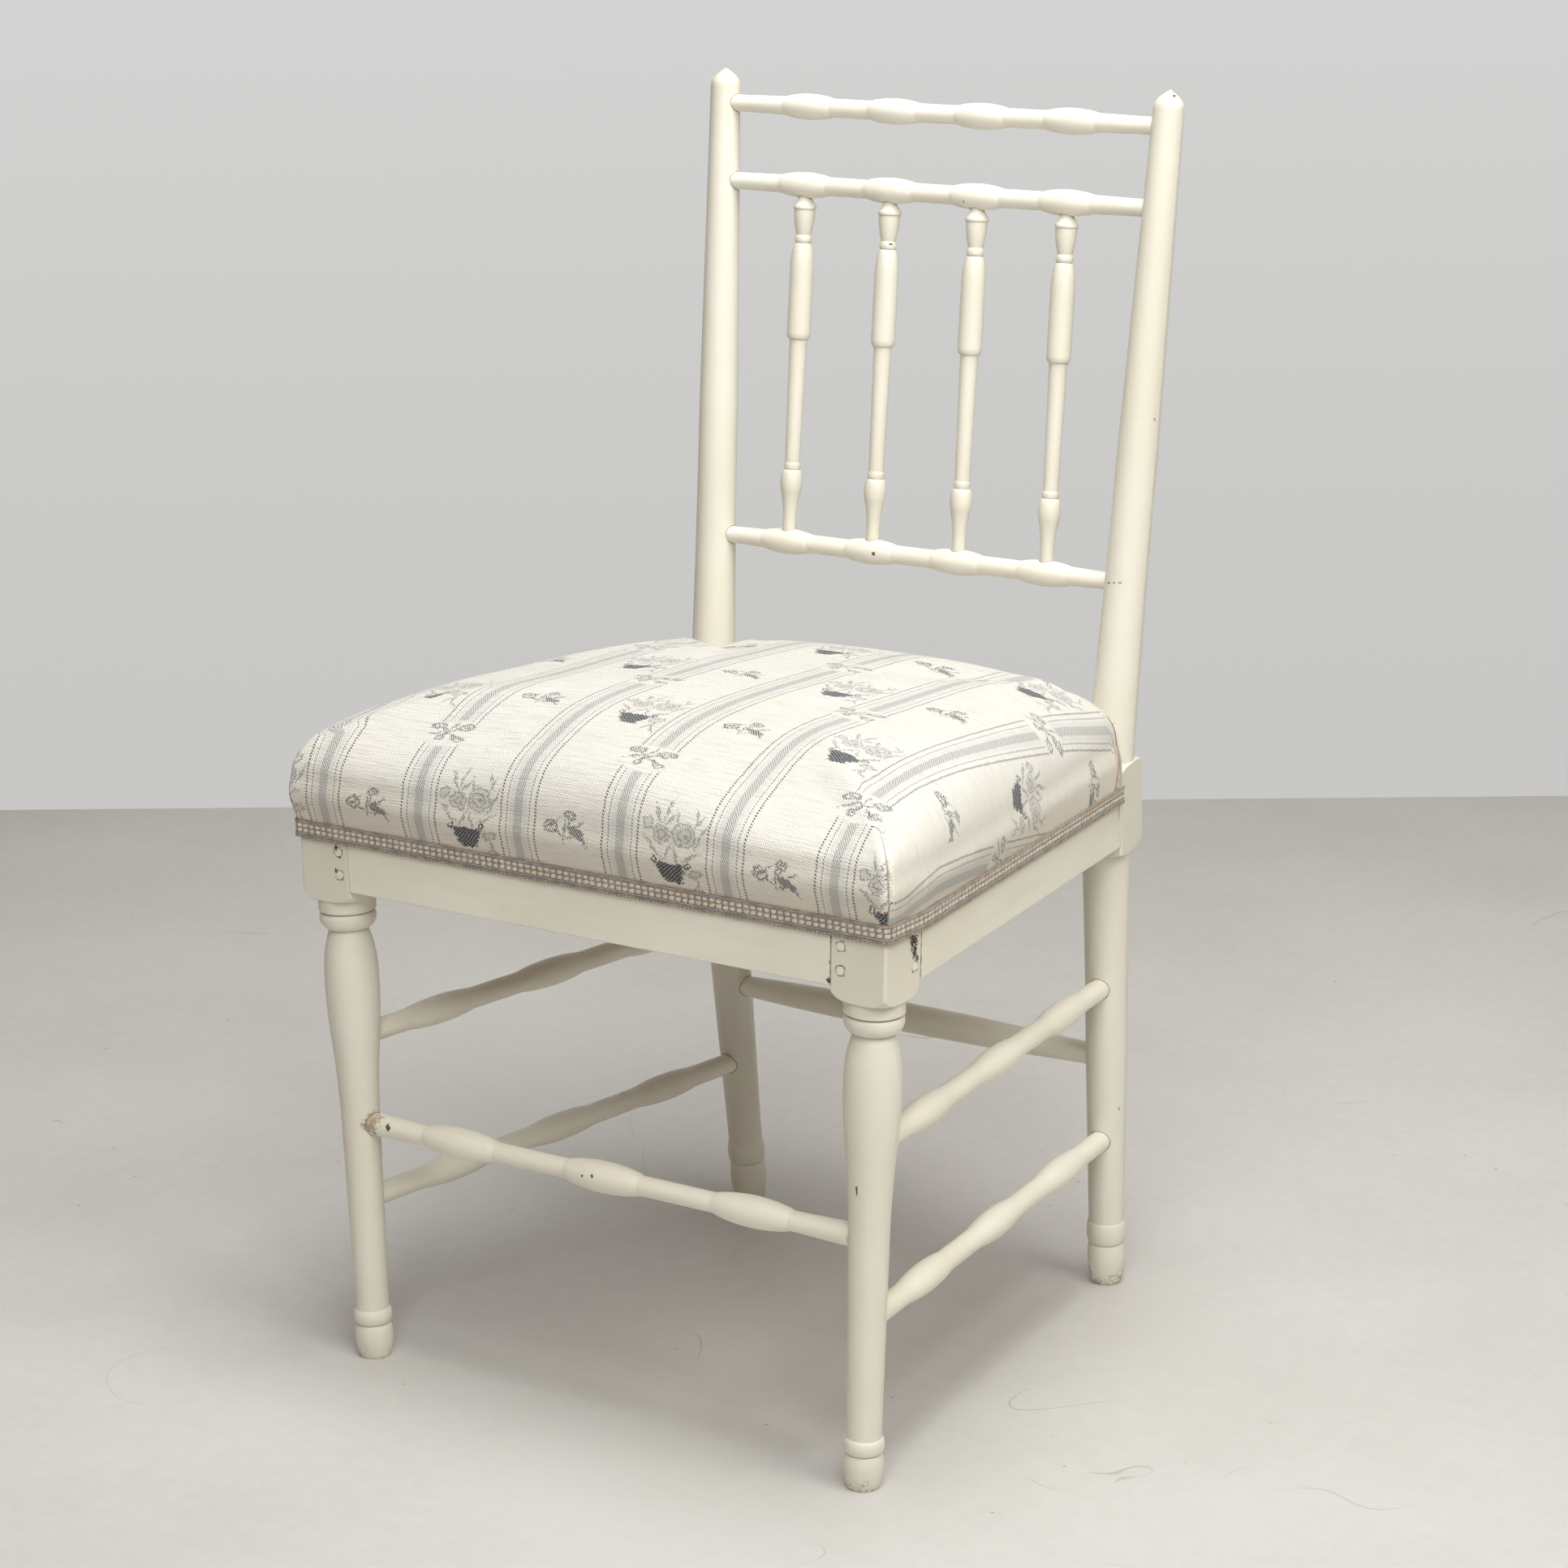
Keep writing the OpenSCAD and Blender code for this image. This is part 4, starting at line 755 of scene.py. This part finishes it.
def paint(name, grain):
    """Worn satin cream paint; grain is the direction of the brush strokes, and the z copy is
    darker, painted shade.
    """
    g = Graph(name)
    p = g.object_coords()
    x, y, z = g.split(p)
    stretch = {"x": (9, 1, 1), "y": (1, 9, 1), "z": (1, 1, 9)}[grain]
    along = g.place(p, size=stretch)
    ragged = g.sub(g.noise(p, 420, 3), 0.5)
    coarse = g.sub(g.noise(p, 95, 2), 0.5)
    strokes = g.noise(along, 520, 3, 0.6)
    waves = g.noise(along, 90, 2)
    cloud = g.noise(p, 9, 3)
    # The upright turned pieces (grain z) get a darker copy of the paint: painted shade that holds
    # down the lamps' light on them.
    paint_level_and_shade = 0.92 if grain == "z" else 1.03
    tone = g.mix(g.step(cloud, 0.35, 0.65), scaled((0.850, 0.820, 0.722), paint_level_and_shade),
                 scaled((0.812, 0.778, 0.668), paint_level_and_shade))
    tone = g.mix(g.mul(g.step(waves, 0.4, 0.75), 0.3), tone, (0.755, 0.708, 0.58))
    tone = g.mix(g.mul(g.step(strokes, 0.62, 0.8), 0.16), tone, (0.52, 0.45, 0.33))
    # Darker, browner paint where ambient occlusion finds near surfaces: some dirt in the grooves,
    # and painted shade in crevices and where parts meet.
    occluded = g.sub(1.0, g.occlusion(0.007))
    grime_and_painted_shade = g.step(g.add(occluded, g.mul(coarse, 0.35)), 0.38, 0.95)
    tone = g.mix(g.mul(grime_and_painted_shade, 0.60), tone, (0.31, 0.24, 0.155))
    edge = g.sub(1.0, g.occlusion(0.0022, inside=True))
    worn = nearest(g, p, WORN)
    rub = g.add(g.mul(g.step(g.add(edge, g.mul(ragged, 1.3)), 0.72, 0.95), 0.35),
                g.mul(g.step(g.add(worn, g.mul(coarse, 1.6), g.mul(ragged, 1.6)), 1.0, 0.35), 0.75))
    tone = g.mix(g.math("MINIMUM", rub, 0.85), tone, (0.30, 0.20, 0.105))
    flecks = g.cells(g.place(p, size=(1, 1, 1.7)), 62)
    fleck = g.mul(g.step(g.add(flecks, g.mul(ragged, 0.1)), 0.062, 0.03),
                  g.step(g.noise(p, 17, 1), 0.56, 0.62))
    tone = g.mix(g.mul(fleck, 0.8), tone, (0.20, 0.13, 0.07))
    torn = g.sub(g.noise(p, 800, 2, 0.6), 0.5)
    chip = g.add(nearest(g, p, CHIPS), g.mul(torn, 3.4), g.mul(coarse, 2.0))
    chips = g.step(chip, 1.12, 0.92)
    lines = g.mul(g.step(ragged, -0.05, 0.05), peg_outlines(g, x, y, z, ragged))
    lines, joints = g.mul(lines, 0.9), g.mul(joint_lines(g, x, y, z, ragged, coarse), 0.8)
    dark = g.fold("MAXIMUM", (lines, joints, chips))
    bare = g.mix(g.mul(g.step(chip, 0.55, 0.2), 0.7), (0.045, 0.028, 0.020), (0.24, 0.14, 0.10))
    tone = g.mix(dark, tone, bare)
    rough = g.add(0.40, g.mul(cloud, 0.14), g.mul(strokes, 0.08), g.mul(dark, 0.3))
    round_edge = g.node("ShaderNodeBevel", Radius=0.0011)
    round_edge.samples = 4
    height = g.add(g.mul(strokes, 0.10), g.mul(waves, 0.5), g.mul(coarse, 0.35), g.mul(dark, -1.3))
    normal = g.bump(height, 0.00035, 0.5, round_edge.outputs[0])
    return g.finish(tone, rough, normal, Coat_Weight=0.08, Coat_Roughness=0.3,
                    Specular_IOR_Level=0.42)


def bare_wood():
    g = Graph("bare_wood")
    p = g.object_coords()
    along = g.place(p, turn=35, size=(9, 1, 1))
    rings = g.noise(along, 130, 4, 0.6, warp=0.6)
    fine = g.noise(along, 900, 2)
    tone = g.mix(g.step(rings, 0.35, 0.65), (0.40, 0.27, 0.155), (0.23, 0.14, 0.075))
    tone = g.mix(g.mul(g.step(fine, 0.55, 0.75), 0.35), tone, (0.13, 0.08, 0.045))
    height = g.add(rings, g.mul(fine, 0.5))
    return g.finish(tone, g.add(0.62, g.mul(fine, 0.2)), g.bump(height, 0.0003, 0.6))


def plain_weave(name, warp, weft, pitch, gaps):
    """A coarse over-and-under weave in the level plane."""
    g = Graph(name)
    p = g.object_coords()
    wander = g.mul(g.sub(g.noise(p, 160, 2), 0.5), pitch * 0.5)
    x, y, _ = g.split(p)
    k = math.pi / pitch
    a = g.sin(g.mul(g.add(x, wander), k))
    b = g.sin(g.mul(g.add(y, wander), k))
    over = g.step(g.mul(a, b), -0.15, 0.15)
    threads = g.math("MAXIMUM", g.mul(g.abs(a), over),
                     g.mul(g.abs(b), g.sub(1.0, over)))
    fibre = g.noise(g.place(p, size=(4, 1, 1)), 1500, 2)
    tone = g.mix(over, warp, weft)
    tone = g.mix(g.mul(g.step(fibre, 0.45, 0.8), 0.5), tone, scaled(warp, 0.45))
    # Nearly black in the openings between the threads: painted shade.
    tone = g.mix(g.step(threads, gaps + 0.2, gaps), tone, scaled(warp, 0.16))
    height = g.add(threads, g.mul(fibre, 0.25))
    return g.finish(tone, g.add(0.82, g.mul(fibre, 0.14)), g.bump(height, 0.0008, 0.8),
                    Sheen_Weight=0.15)


# ---------------- cover fabric
# Woven motifs in millimetres: x, y, half width, half height, then where they are not 0 the turn
# and the half width of a drawn line, where the form is an outline and not filled.
POT = [(0, 4, 13, 1.5), (0, 1.5, 11.5, 4), (-0.5, -2.5, 9.2, 4.6), (0, -7, 7, 1.7),
       (-13, 6.5, 1.9, 1.9, 0, 0.6), (13, 6.5, 1.9, 1.6, 0, 0.6)]
BOUQUET = [(10, 25, 8.6, 7.6, 0, 0.6), (10, 25, 5, 4.2, 20, 0.6), (11, 25, 2, 1.6),
           (-8, 23, 6.4, 5.8, 0, 0.6), (-8, 23, 3, 2.4, 0, 0.6), (-19, 28, 3.8, 3.2, 20, 0.6),
           (-18, 17.5, 4, 1.1, -30), (-12, 36, 6, 1.2, 118), (-5, 39, 6.8, 1.1, 75),
           (-2, 33, 4.5, 1, 45), (4, 35, 4.5, 0.9, 110), (20, 36, 4.5, 1, 60),
           (17, 40, 3.1, 0.9, 120), (22, 25, 8, 1.1, 62), (16, 12, 6.8, 1.1, 28),
           (-3, 12, 6, 1, 60), (4, 11, 5.4, 0.9, 110), (-13, 12, 6, 1, -38),
           (19, 1, 5, 2.6, 15, 0.6), (20, -7, 6, 1, 100), (16, -10, 3.6, 0.9, 45),
           (23, -12, 3.6, 0.9, -50)]
PETALS = [(10, 25, 8.2, 7.2), (-8, 23, 5.8, 5.2), (-19, 28, 3.4, 2.8, 20), (19, 1, 4.6, 2.2, 15)]
SPRIG = [(0, -1.5, 0.9, 6.6), (9.5, -3.5, 8, 3, -22), (-11, -0.5, 5, 3.6, 0, 0.8),
         (-11.5, -0.5, 2.6, 1.5, 25), (-8, 2, 4.6, 0.9, 40), (4.5, 7.5, 3.6, 2.4, 0, 0.7),
         (4.5, 7.5, 1.4, 1.2), (3, 2.5, 4.5, 0.8, 70), (-5, -4, 4.2, 0.8, -25),
         (16, -8, 3.2, 0.8, -55), (12, 2.2, 3.8, 0.9, 25), (7, -6.5, 4.4, 0.8, 10)]
BOW = [(-2, -3.4, 1.2, 4.6, -35), (-11, 4.8, 5, 2.7, 10, 0.7), (12.5, 5.2, 6.2, 2.9, 10, 0.8),
       (-9, -2.4, 5.4, 1, 25), (5, 1.4, 7.4, 0.8, 25), (1, 5.4, 0.9, 4.8, -25),
       (-4, 2, 5.8, 0.8, -30), (-3.4, -7.4, 2.6, 2.3, 0, 0.8), (7.5, -4.8, 5.8, 0.9, -25),
       (12.5, -7.4, 3.8, 2.1, 0, 0.7), (14, 5.4, 2.4, 1.1), (-11, 4.8, 1.9, 1)]


def drawn(g, p, forms):
    """Signed distance, in mm, from a motif's threads; below zero is inside."""
    def distance(x, y, rx, ry, turn=0, line=0):
        r = g.vmath("LENGTH", g.place(p, at=(x, y, 0), turn=turn, size=(rx, ry, 1)))
        d = g.math("MULTIPLY_ADD", r, min(rx, ry), -min(rx, ry))
        return g.sub(g.abs(d), line) if line else d

    return g.fold("MINIMUM", (distance(*form) for form in forms))


def cover_fabric():
    g = Graph("cover_fabric")
    p = g.object_coords()
    x, y, z = (g.mul(c, 1000.0) for c in g.split(p))
    across, down = g.attribute("across"), g.attribute("down")
    ax = g.abs(x)
    # distances from the diagonals at the front and back corners, where the side's cloth begins
    half_root = math.sqrt(0.5)
    at_corner = g.mul(g.add(g.sub(ax, FOLD_X), g.add(y, -FOLD_Y)), half_root)
    at_back = g.mul(g.sub(g.sub(ax, 176.0), g.sub(y, 158.0)), half_root)
    soft = g.step(z, 446, 474, 0.35, 60.0)
    side = g.mul(g.step(at_corner, g.mul(soft, -1.0), soft),
                 g.step(at_back, g.mul(soft, -1.0), soft))
    u = g.add(x, g.mul(side, g.sub(across, x)))
    v = g.add(down, g.mul(side, g.sub(y, down)))
    wander = g.noise(g.vector(u, v, 0.0), 0.16, 2, colour=True)
    du, dv, _ = g.split(wander)
    u = g.add(u, g.mul(g.sub(du, 0.5), 1.6))
    v = g.add(v, g.mul(g.sub(dv, 0.5), 1.6))

    # threads: fine diagonal weave, dots along the lines, slubs across
    k = 2 * math.pi
    twill = g.sin(g.add(g.mul(u, k / 1.9), g.mul(v, k / 2.3)))
    dots = g.sin(g.add(g.mul(v, k / 2.2), g.mul(u, k / 4.2)))
    flat = g.vector(u, v, 0.0)
    grain = g.noise(flat, 0.95, 2, 0.65)
    cream, beige = (0.745, 0.730, 0.695), (0.655, 0.612, 0.525)
    navy, slate, pale = (0.028, 0.036, 0.055), (0.165, 0.178, 0.200), (0.50, 0.508, 0.515)
    tone = g.mix(g.step(g.noise(p, 7, 2), 0.35, 0.7), cream, (0.715, 0.695, 0.648))
    slub = g.noise(g.place(flat, size=(22, 1, 1)), 0.75, 3, 0.65)
    tone = g.mix(g.mul(g.step(slub, 0.50, 0.68), 0.46), tone, (0.47, 0.415, 0.325))
    tone = g.mix(g.mul(g.step(slub, 0.45, 0.3), 0.6), tone, (0.83, 0.825, 0.80))
    slub_far = g.noise(g.place(flat, size=(60, 3, 1)), 0.5, 2)
    tone = g.mix(g.mul(g.step(slub_far, 0.5, 0.75), 0.34), tone, beige)
    tone = g.mix(g.mul(g.step(twill, 0.2, -0.9), 0.13), tone, (0.45, 0.40, 0.31))
    # Lighter on the wall below the crown: painted light. Darker and warmer towards the hem: painted
    # shade, with an aged beige tone.
    tone = g.mix(g.mul(g.step(z, 468, 438), 0.36), tone, (0.84, 0.80, 0.725))
    tone = g.mix(g.mul(g.step(z, 440, 396), 0.34), tone, (0.70, 0.61, 0.46))
    threads = g.step(g.cells(g.place(flat, size=(9, 1, 1)), 0.045), 0.055, 0.02)
    tone = g.mix(g.mul(threads, g.step(grain, 0.5, 0.6), 0.7), tone, (0.65, 0.27, 0.10))

    # stripes, each crossed by a bow in every repeat
    pitch, repeat, stripe_at = 83.2, 236.0, 45.5

    def wrap(value, before):
        """The value less whole repeats, which start the given length before its zeros."""
        count = g.math("FLOOR", g.math("DIVIDE", g.add(value, before), repeat))
        return g.sub(value, g.mul(count, repeat))

    stripe = g.math("FLOOR", g.add(g.math("DIVIDE", g.add(u, stripe_at), pitch), 0.5))
    t = g.sub(g.add(u, stripe_at), g.mul(stripe, pitch))
    even = g.sub(1.0, g.abs(g.math("MODULO", stripe, 2.0)))
    along = wrap(g.sub(v, g.add(g.mul(even, 124.0), -196.0)), 118.0)
    crossing = g.vector(t, along, 0.0)
    clear = g.step(g.vmath("LENGTH", g.place(crossing, size=(24, 15, 1))), 0.85, 1.05)
    at = g.abs(t)
    wash = g.mul(g.step(at, 7.6, 6.8), g.step(twill, -0.9, 0.9, 0.5, 1.0), clear, 0.40)
    tone = g.mix(wash, tone, pale)
    tone = g.mix(g.mul(g.step(at, 3.7, 3.1), g.step(twill, -0.85, 0.6), clear, 0.66), tone, slate)
    for middle, wide, narrow, off, on, strength, colour in (
            (9.3, 0.95, 0.35, -0.6, 0.4, 0.80, slate),
            (14.2, 1.05, 0.45, -0.5, 0.3, 0.90, (0.045, 0.055, 0.075))):
        line = g.step(g.abs(g.sub(at, middle)), wide, narrow)
        tone = g.mix(g.mul(line, g.step(dots, off, on), clear, strength), tone, colour)

    # columns between the stripes, and the rows of motifs in them, drawn in broken stitches
    column = g.math("FLOOR", g.math("DIVIDE", g.add(u, stripe_at), pitch))
    a = g.sub(g.add(u, stripe_at), g.add(g.mul(column, pitch), pitch / 2))
    odd = g.abs(g.math("MODULO", column, 2.0))
    b = wrap(g.sub(v, g.add(g.mul(odd, 118.0), -154.0)), 75.0)
    stitch = g.sub(g.noise(g.vector(g.mul(u, 0.8), g.add(v, g.mul(u, -0.35)), 0.0), 0.85, 1), 0.5)
    loose = g.add(g.mul(stitch, 4.6), g.mul(g.sub(grain, 0.5), 2.0))
    wave_u, wave_v, _ = g.split(g.noise(flat, 0.21, 1, colour=True))
    wave_u, wave_v = g.mul(g.sub(wave_u, 0.5), 5.5), g.mul(g.sub(wave_v, 0.5), 5.5)
    basket = g.vector(g.add(a, wave_u, 1.0), g.add(b, wave_v), 0.0)
    hatch = g.step(g.add(twill, g.mul(g.sub(grain, 0.5), 2.4)), -0.75, 0.25, 0.25, 1.0)
    wicker = g.mul(g.sin(g.mul(u, k / 2.9)), g.sin(g.mul(v, k / 2.5)))
    wicker = g.step(g.add(wicker, g.mul(g.sub(grain, 0.5), 1.6)), 0.75, 0.25, 0.35, 1.0)
    bow = g.vector(g.add(t, wave_u, 3.0), g.add(along, wave_v, -1.5), 0.0)
    sprig = g.vector(g.add(a, wave_u, 3.0), g.add(b, wave_v, -132.0), 0.0)
    for forms, colour, strength, filling, where in (
            (BOW, navy, 0.88, hatch, bow), (PETALS, slate, 0.30, hatch, basket),
            (BOUQUET, slate, 0.86, hatch, basket), (POT, navy, 0.96, wicker, basket),
            (SPRIG, navy, 0.94, hatch, sprig)):
        far = g.add(drawn(g, where, forms), g.mul(loose, 0.5 if forms is POT else 0.85))
        tone = g.mix(g.mul(g.step(far, 0.35, -0.35), filling, strength), tone, colour)

    # A dark brown line in the front corner pleat's crease: painted shade.
    crease_shade = g.mul(g.step(g.abs(at_corner), 1.1, 0.3), g.step(z, 440, 428),
                 g.step(ax, 215, 225))
    tone = g.mix(g.mul(crease_shade, 0.5), tone, (0.34, 0.25, 0.15))
    picks = g.sin(g.mul(v, k / 1.15))
    height = g.add(g.mul(picks, 0.2), g.mul(twill, 0.22), g.mul(slub, 2.3), g.mul(grain, 0.6))
    normal = g.bump(height, 0.00045, 0.8)
    return g.finish(tone, g.add(0.86, g.mul(grain, 0.1)), normal, Sheen_Weight=0.18,
                    Sheen_Roughness=0.45, Specular_IOR_Level=0.2)


def braid_material(name, colour, dark, twist, shade=None):
    """Twisted or woven yarn: fine slanting strands, uneven colour, a soft sheen."""
    g = Graph(name)
    p = g.object_coords()
    x, y, z = g.split(p)
    strands = g.sin(g.mul(g.add(x, y, g.mul(z, 1.4)), 2 * math.pi / twist))
    fibre = g.noise(p, 1800, 2)
    patch = g.noise(p, 140, 2)
    tone = g.mix(g.step(patch, 0.38, 0.62), colour, shade or scaled(colour, 0.74))
    tone = g.mix(g.mul(g.step(strands, 0.1, -0.9), 0.55), tone, dark)
    tone = g.mix(g.mul(g.step(fibre, 0.55, 0.8), 0.3), tone, dark)
    height = g.add(strands, g.mul(fibre, 0.8))
    return g.finish(tone, g.add(0.75, g.mul(fibre, 0.2)), g.bump(height, 0.0003, 0.8),
                    Sheen_Weight=0.25)


# ---------------- stage
# The camera as fitted to the photo, with its lens and image centre in pixels of the photo.
YAW, PITCH, ROLL = (math.radians(a) for a in (34.08, 14.75, -0.52))
EYE = Vector((1.56845, -2.288814, 1.13069))
IMAGE, FOCAL, CENTRE = 1932, 5076.1, (979.41, 967.07)
SENSOR = 36
ACROSS = Vector((math.cos(YAW), math.sin(YAW), 0))


def make_camera():
    ahead = Vector((-math.sin(YAW) * math.cos(PITCH), math.cos(YAW) * math.cos(PITCH),
                    -math.sin(PITCH)))
    up = ACROSS.cross(ahead)
    x = math.cos(ROLL) * ACROSS + math.sin(ROLL) * up
    y = -math.sin(ROLL) * ACROSS + math.cos(ROLL) * up
    cam = add_object("camera", bpy.data.cameras.new("camera"))
    cam.matrix_world = Matrix((*zip(x, y, -ahead, EYE), (0, 0, 0, 1)))
    cam.data.sensor_width = SENSOR
    cam.data.lens = FOCAL / IMAGE * SENSOR
    cam.data.shift_x = (IMAGE / 2 - CENTRE[0]) / IMAGE
    cam.data.shift_y = (CENTRE[1] - IMAGE / 2) / IMAGE
    cam.data.clip_end = 100
    bpy.context.scene.camera = cam


def area_light(name, place, aim_height, side, power, colour):
    """A square lamp that looks at a point above the middle of the chair's footprint."""
    data = bpy.data.lights.new(name, "AREA")
    data.size = side
    data.energy = power
    data.color = colour
    obj = add_object(name, data)
    obj.location = place
    aim = Vector((0, 0, aim_height)) - Vector(place)
    obj.rotation_euler = aim.to_track_quat("-Z", "Y").to_euler()


def mix_shaders(tree, share, a, b):
    n = tree.nodes.new("ShaderNodeMixShader")
    for socket, source in zip(n.inputs, (share, a, b)):
        tree.links.new(source, socket)
    return n.outputs[0]


def rays_that_show(tree):
    """1 on the rays that show a backdrop: the camera's, mirrored ones and those through glass."""
    rays = tree.nodes.new("ShaderNodeLightPath")
    seen = rays.outputs["Is Camera Ray"]
    for kind in ("Is Glossy Ray", "Is Transmission Ray"):
        n = tree.nodes.new("ShaderNodeMath")
        n.operation = "MAXIMUM"
        tree.links.new(seen, n.inputs[0])
        tree.links.new(rays.outputs[kind], n.inputs[1])
        seen = n.outputs[0]
    return seen


def make_floor():
    g = Graph("floor")
    p = g.object_coords()
    soft = g.noise(p, 1.6, 4, 0.6)
    fine = g.noise(p, 70, 3, 0.6)
    blend = g.step(g.add(g.mul(soft, 0.75), g.mul(fine, 0.25)), 0.36, 0.64)
    colour = g.mix(blend, (0.545, 0.528, 0.505), (0.598, 0.584, 0.565))
    patch = g.step(g.noise(p, 4.0, 2), 0.45, 0.62)
    specks = g.step(g.add(g.cells(p, 30), g.mul(fine, 0.05)), 0.085, 0.05)
    colour = g.mix(g.mul(specks, patch, 0.55), colour, (0.20, 0.165, 0.13))
    for scale, at in ((2.3, 0.47), (3.1, 0.53)):
        curl = g.noise(p, scale, 1.0, 0.5, warp=1.2)
        hair = g.step(g.abs(g.sub(curl, at)), 0.0011, 0.0004)
        some = g.step(g.noise(p, scale * 2.7, 1), 0.60, 0.66)
        colour = g.mix(g.mul(hair, some, 0.42), colour, (0.26, 0.21, 0.17))
    r = 3.4
    floor = new_object("floor", [(-r, -r, 0), (r, -r, 0), (r, r, 0), (-r, r, 0)], [(0, 1, 2, 3)],
                       smooth=False)
    dress(floor, g.finish(colour, 0.6, g.bump(fine, 0.0004, 0.2)))
    return floor


def make_wall():
    """A wall behind the chair, seen as a glow of its colour, which is darker towards the floor as
    painted shade, and from its back not seen at all.
    """
    distance, half, height = 4.22, 7, Vector((0, 0, 4))
    foot = Vector((EYE.x, EYE.y, 0)) + Vector((-ACROSS.y, ACROSS.x, 0)) * distance
    left, right = foot - ACROSS * half, foot + ACROSS * half
    wall = new_object("wall", [left, right, right + height, left + height], [(0, 1, 2, 3)],
                      smooth=False)
    g = Graph("wall")
    z = g.split(g.object_coords())[2]
    # Darker towards the floor: painted shade on the wall.
    colour = g.mix(g.step(z, 0.0, 1.6), (0.580, 0.575, 0.565), (0.715, 0.715, 0.715))
    g.finish(colour, 0.9)
    glow = g.node("ShaderNodeEmission", Color=colour)
    front = mix_shaders(g.tree, rays_that_show(g.tree), g.shader.outputs["BSDF"], glow.outputs[0])
    behind = g.node("ShaderNodeNewGeometry").outputs["Backfacing"]
    clear = g.node("ShaderNodeBsdfTransparent").outputs[0]
    g.link(mix_shaders(g.tree, behind, front, clear), g.out.inputs["Surface"])
    dress(wall, g.mat)
    return wall


def make_stage():
    make_floor()
    make_wall()
    world = bpy.data.worlds.new("studio")
    world.use_nodes = True
    tree = world.node_tree
    fill, pale = tree.nodes["Background"], tree.nodes.new("ShaderNodeBackground")
    fill.inputs["Color"].default_value = (1.0, 0.55, 0.24, 1)
    fill.inputs["Strength"].default_value = 0.065
    pale.inputs["Color"].default_value = (0.62, 0.62, 0.61, 1)
    backdrop = mix_shaders(tree, rays_that_show(tree), fill.outputs[0], pale.outputs[0])
    tree.links.new(backdrop, tree.nodes["World Output"].inputs["Surface"])
    bpy.context.scene.world = world
    bpy.context.scene.view_settings.view_transform = "Standard"
    area_light("key", (0.35, -0.15, 2.6), 0.3, 1.1, 39, (0.98, 0.99, 1.0))
    area_light("front_right", (1.2, -1.8, 2.3), 0.4, 1.4, 42, (0.98, 1.0, 0.985))
    area_light("right", (1.9, -0.4, 2.1), 0.4, 1.2, 26, (1.0, 0.995, 0.90))
    area_light("front_left", (-1.0, -1.8, 2.3), 0.4, 1.4, 2, (1.0, 0.95, 0.80))


# ---------------- everything together
PAINTS = {axis: paint("cream_paint_" + axis, axis) for axis in "xyz"}
WOOD = bare_wood()
WEB = plain_weave("jute_webbing", (0.44, 0.32, 0.18), (0.36, 0.255, 0.14), 0.0022, 0.25)
SACKING = plain_weave("hessian", (0.47, 0.35, 0.21), (0.40, 0.29, 0.165), 0.0018, 0.4)
for name, node in NODES.items():
    if "brace" in name:
        dress(node, WOOD)
    elif "webbing" in name:
        dress(node, WEB)
    elif name == "hessian":
        dress(node, SACKING)
    # The legs, posts and spindles take the darker z copy of the paint, painted shade.
    elif name.startswith(("front_leg", "back_post", "spindle")):
        dress(node, PAINTS["z"])
    elif name.startswith(("side_rail", "upper_stretcher", "lower_stretcher")):
        dress(node, PAINTS["y"])
    else:
        dress(node, PAINTS["x"])
cushion = make_cushion()
lay_pattern(cushion)
dress(cushion, cover_fabric())
GIMP = {
    "backing": braid_material("braid_backing", (0.60, 0.51, 0.42), (0.36, 0.29, 0.23), 0.0012),
    "blue": braid_material("braid_blue", (0.50, 0.515, 0.54), (0.27, 0.28, 0.31), 0.0016),
    "brown": braid_material("braid_brown", (0.56, 0.36, 0.21), (0.27, 0.16, 0.09), 0.0013),
    "tan": braid_material("braid_tan", (0.72, 0.59, 0.44), (0.38, 0.28, 0.19), 0.0011),
    "block": braid_material("braid_blocks", (0.96, 0.90, 0.80), (0.72, 0.57, 0.44), 0.0009,
                            shade=(0.90, 0.74, 0.58))}
make_gimp(Line(gimp_route()), "gimp_strip", "gimp_braid", GIMP, 3)
make_gimp(Line(back_route()), "gimp_back_strip", "gimp_braid_back", GIMP, 5)
make_threads(cushion, GIMP["brown"], GIMP["block"])
make_camera()
make_stage()
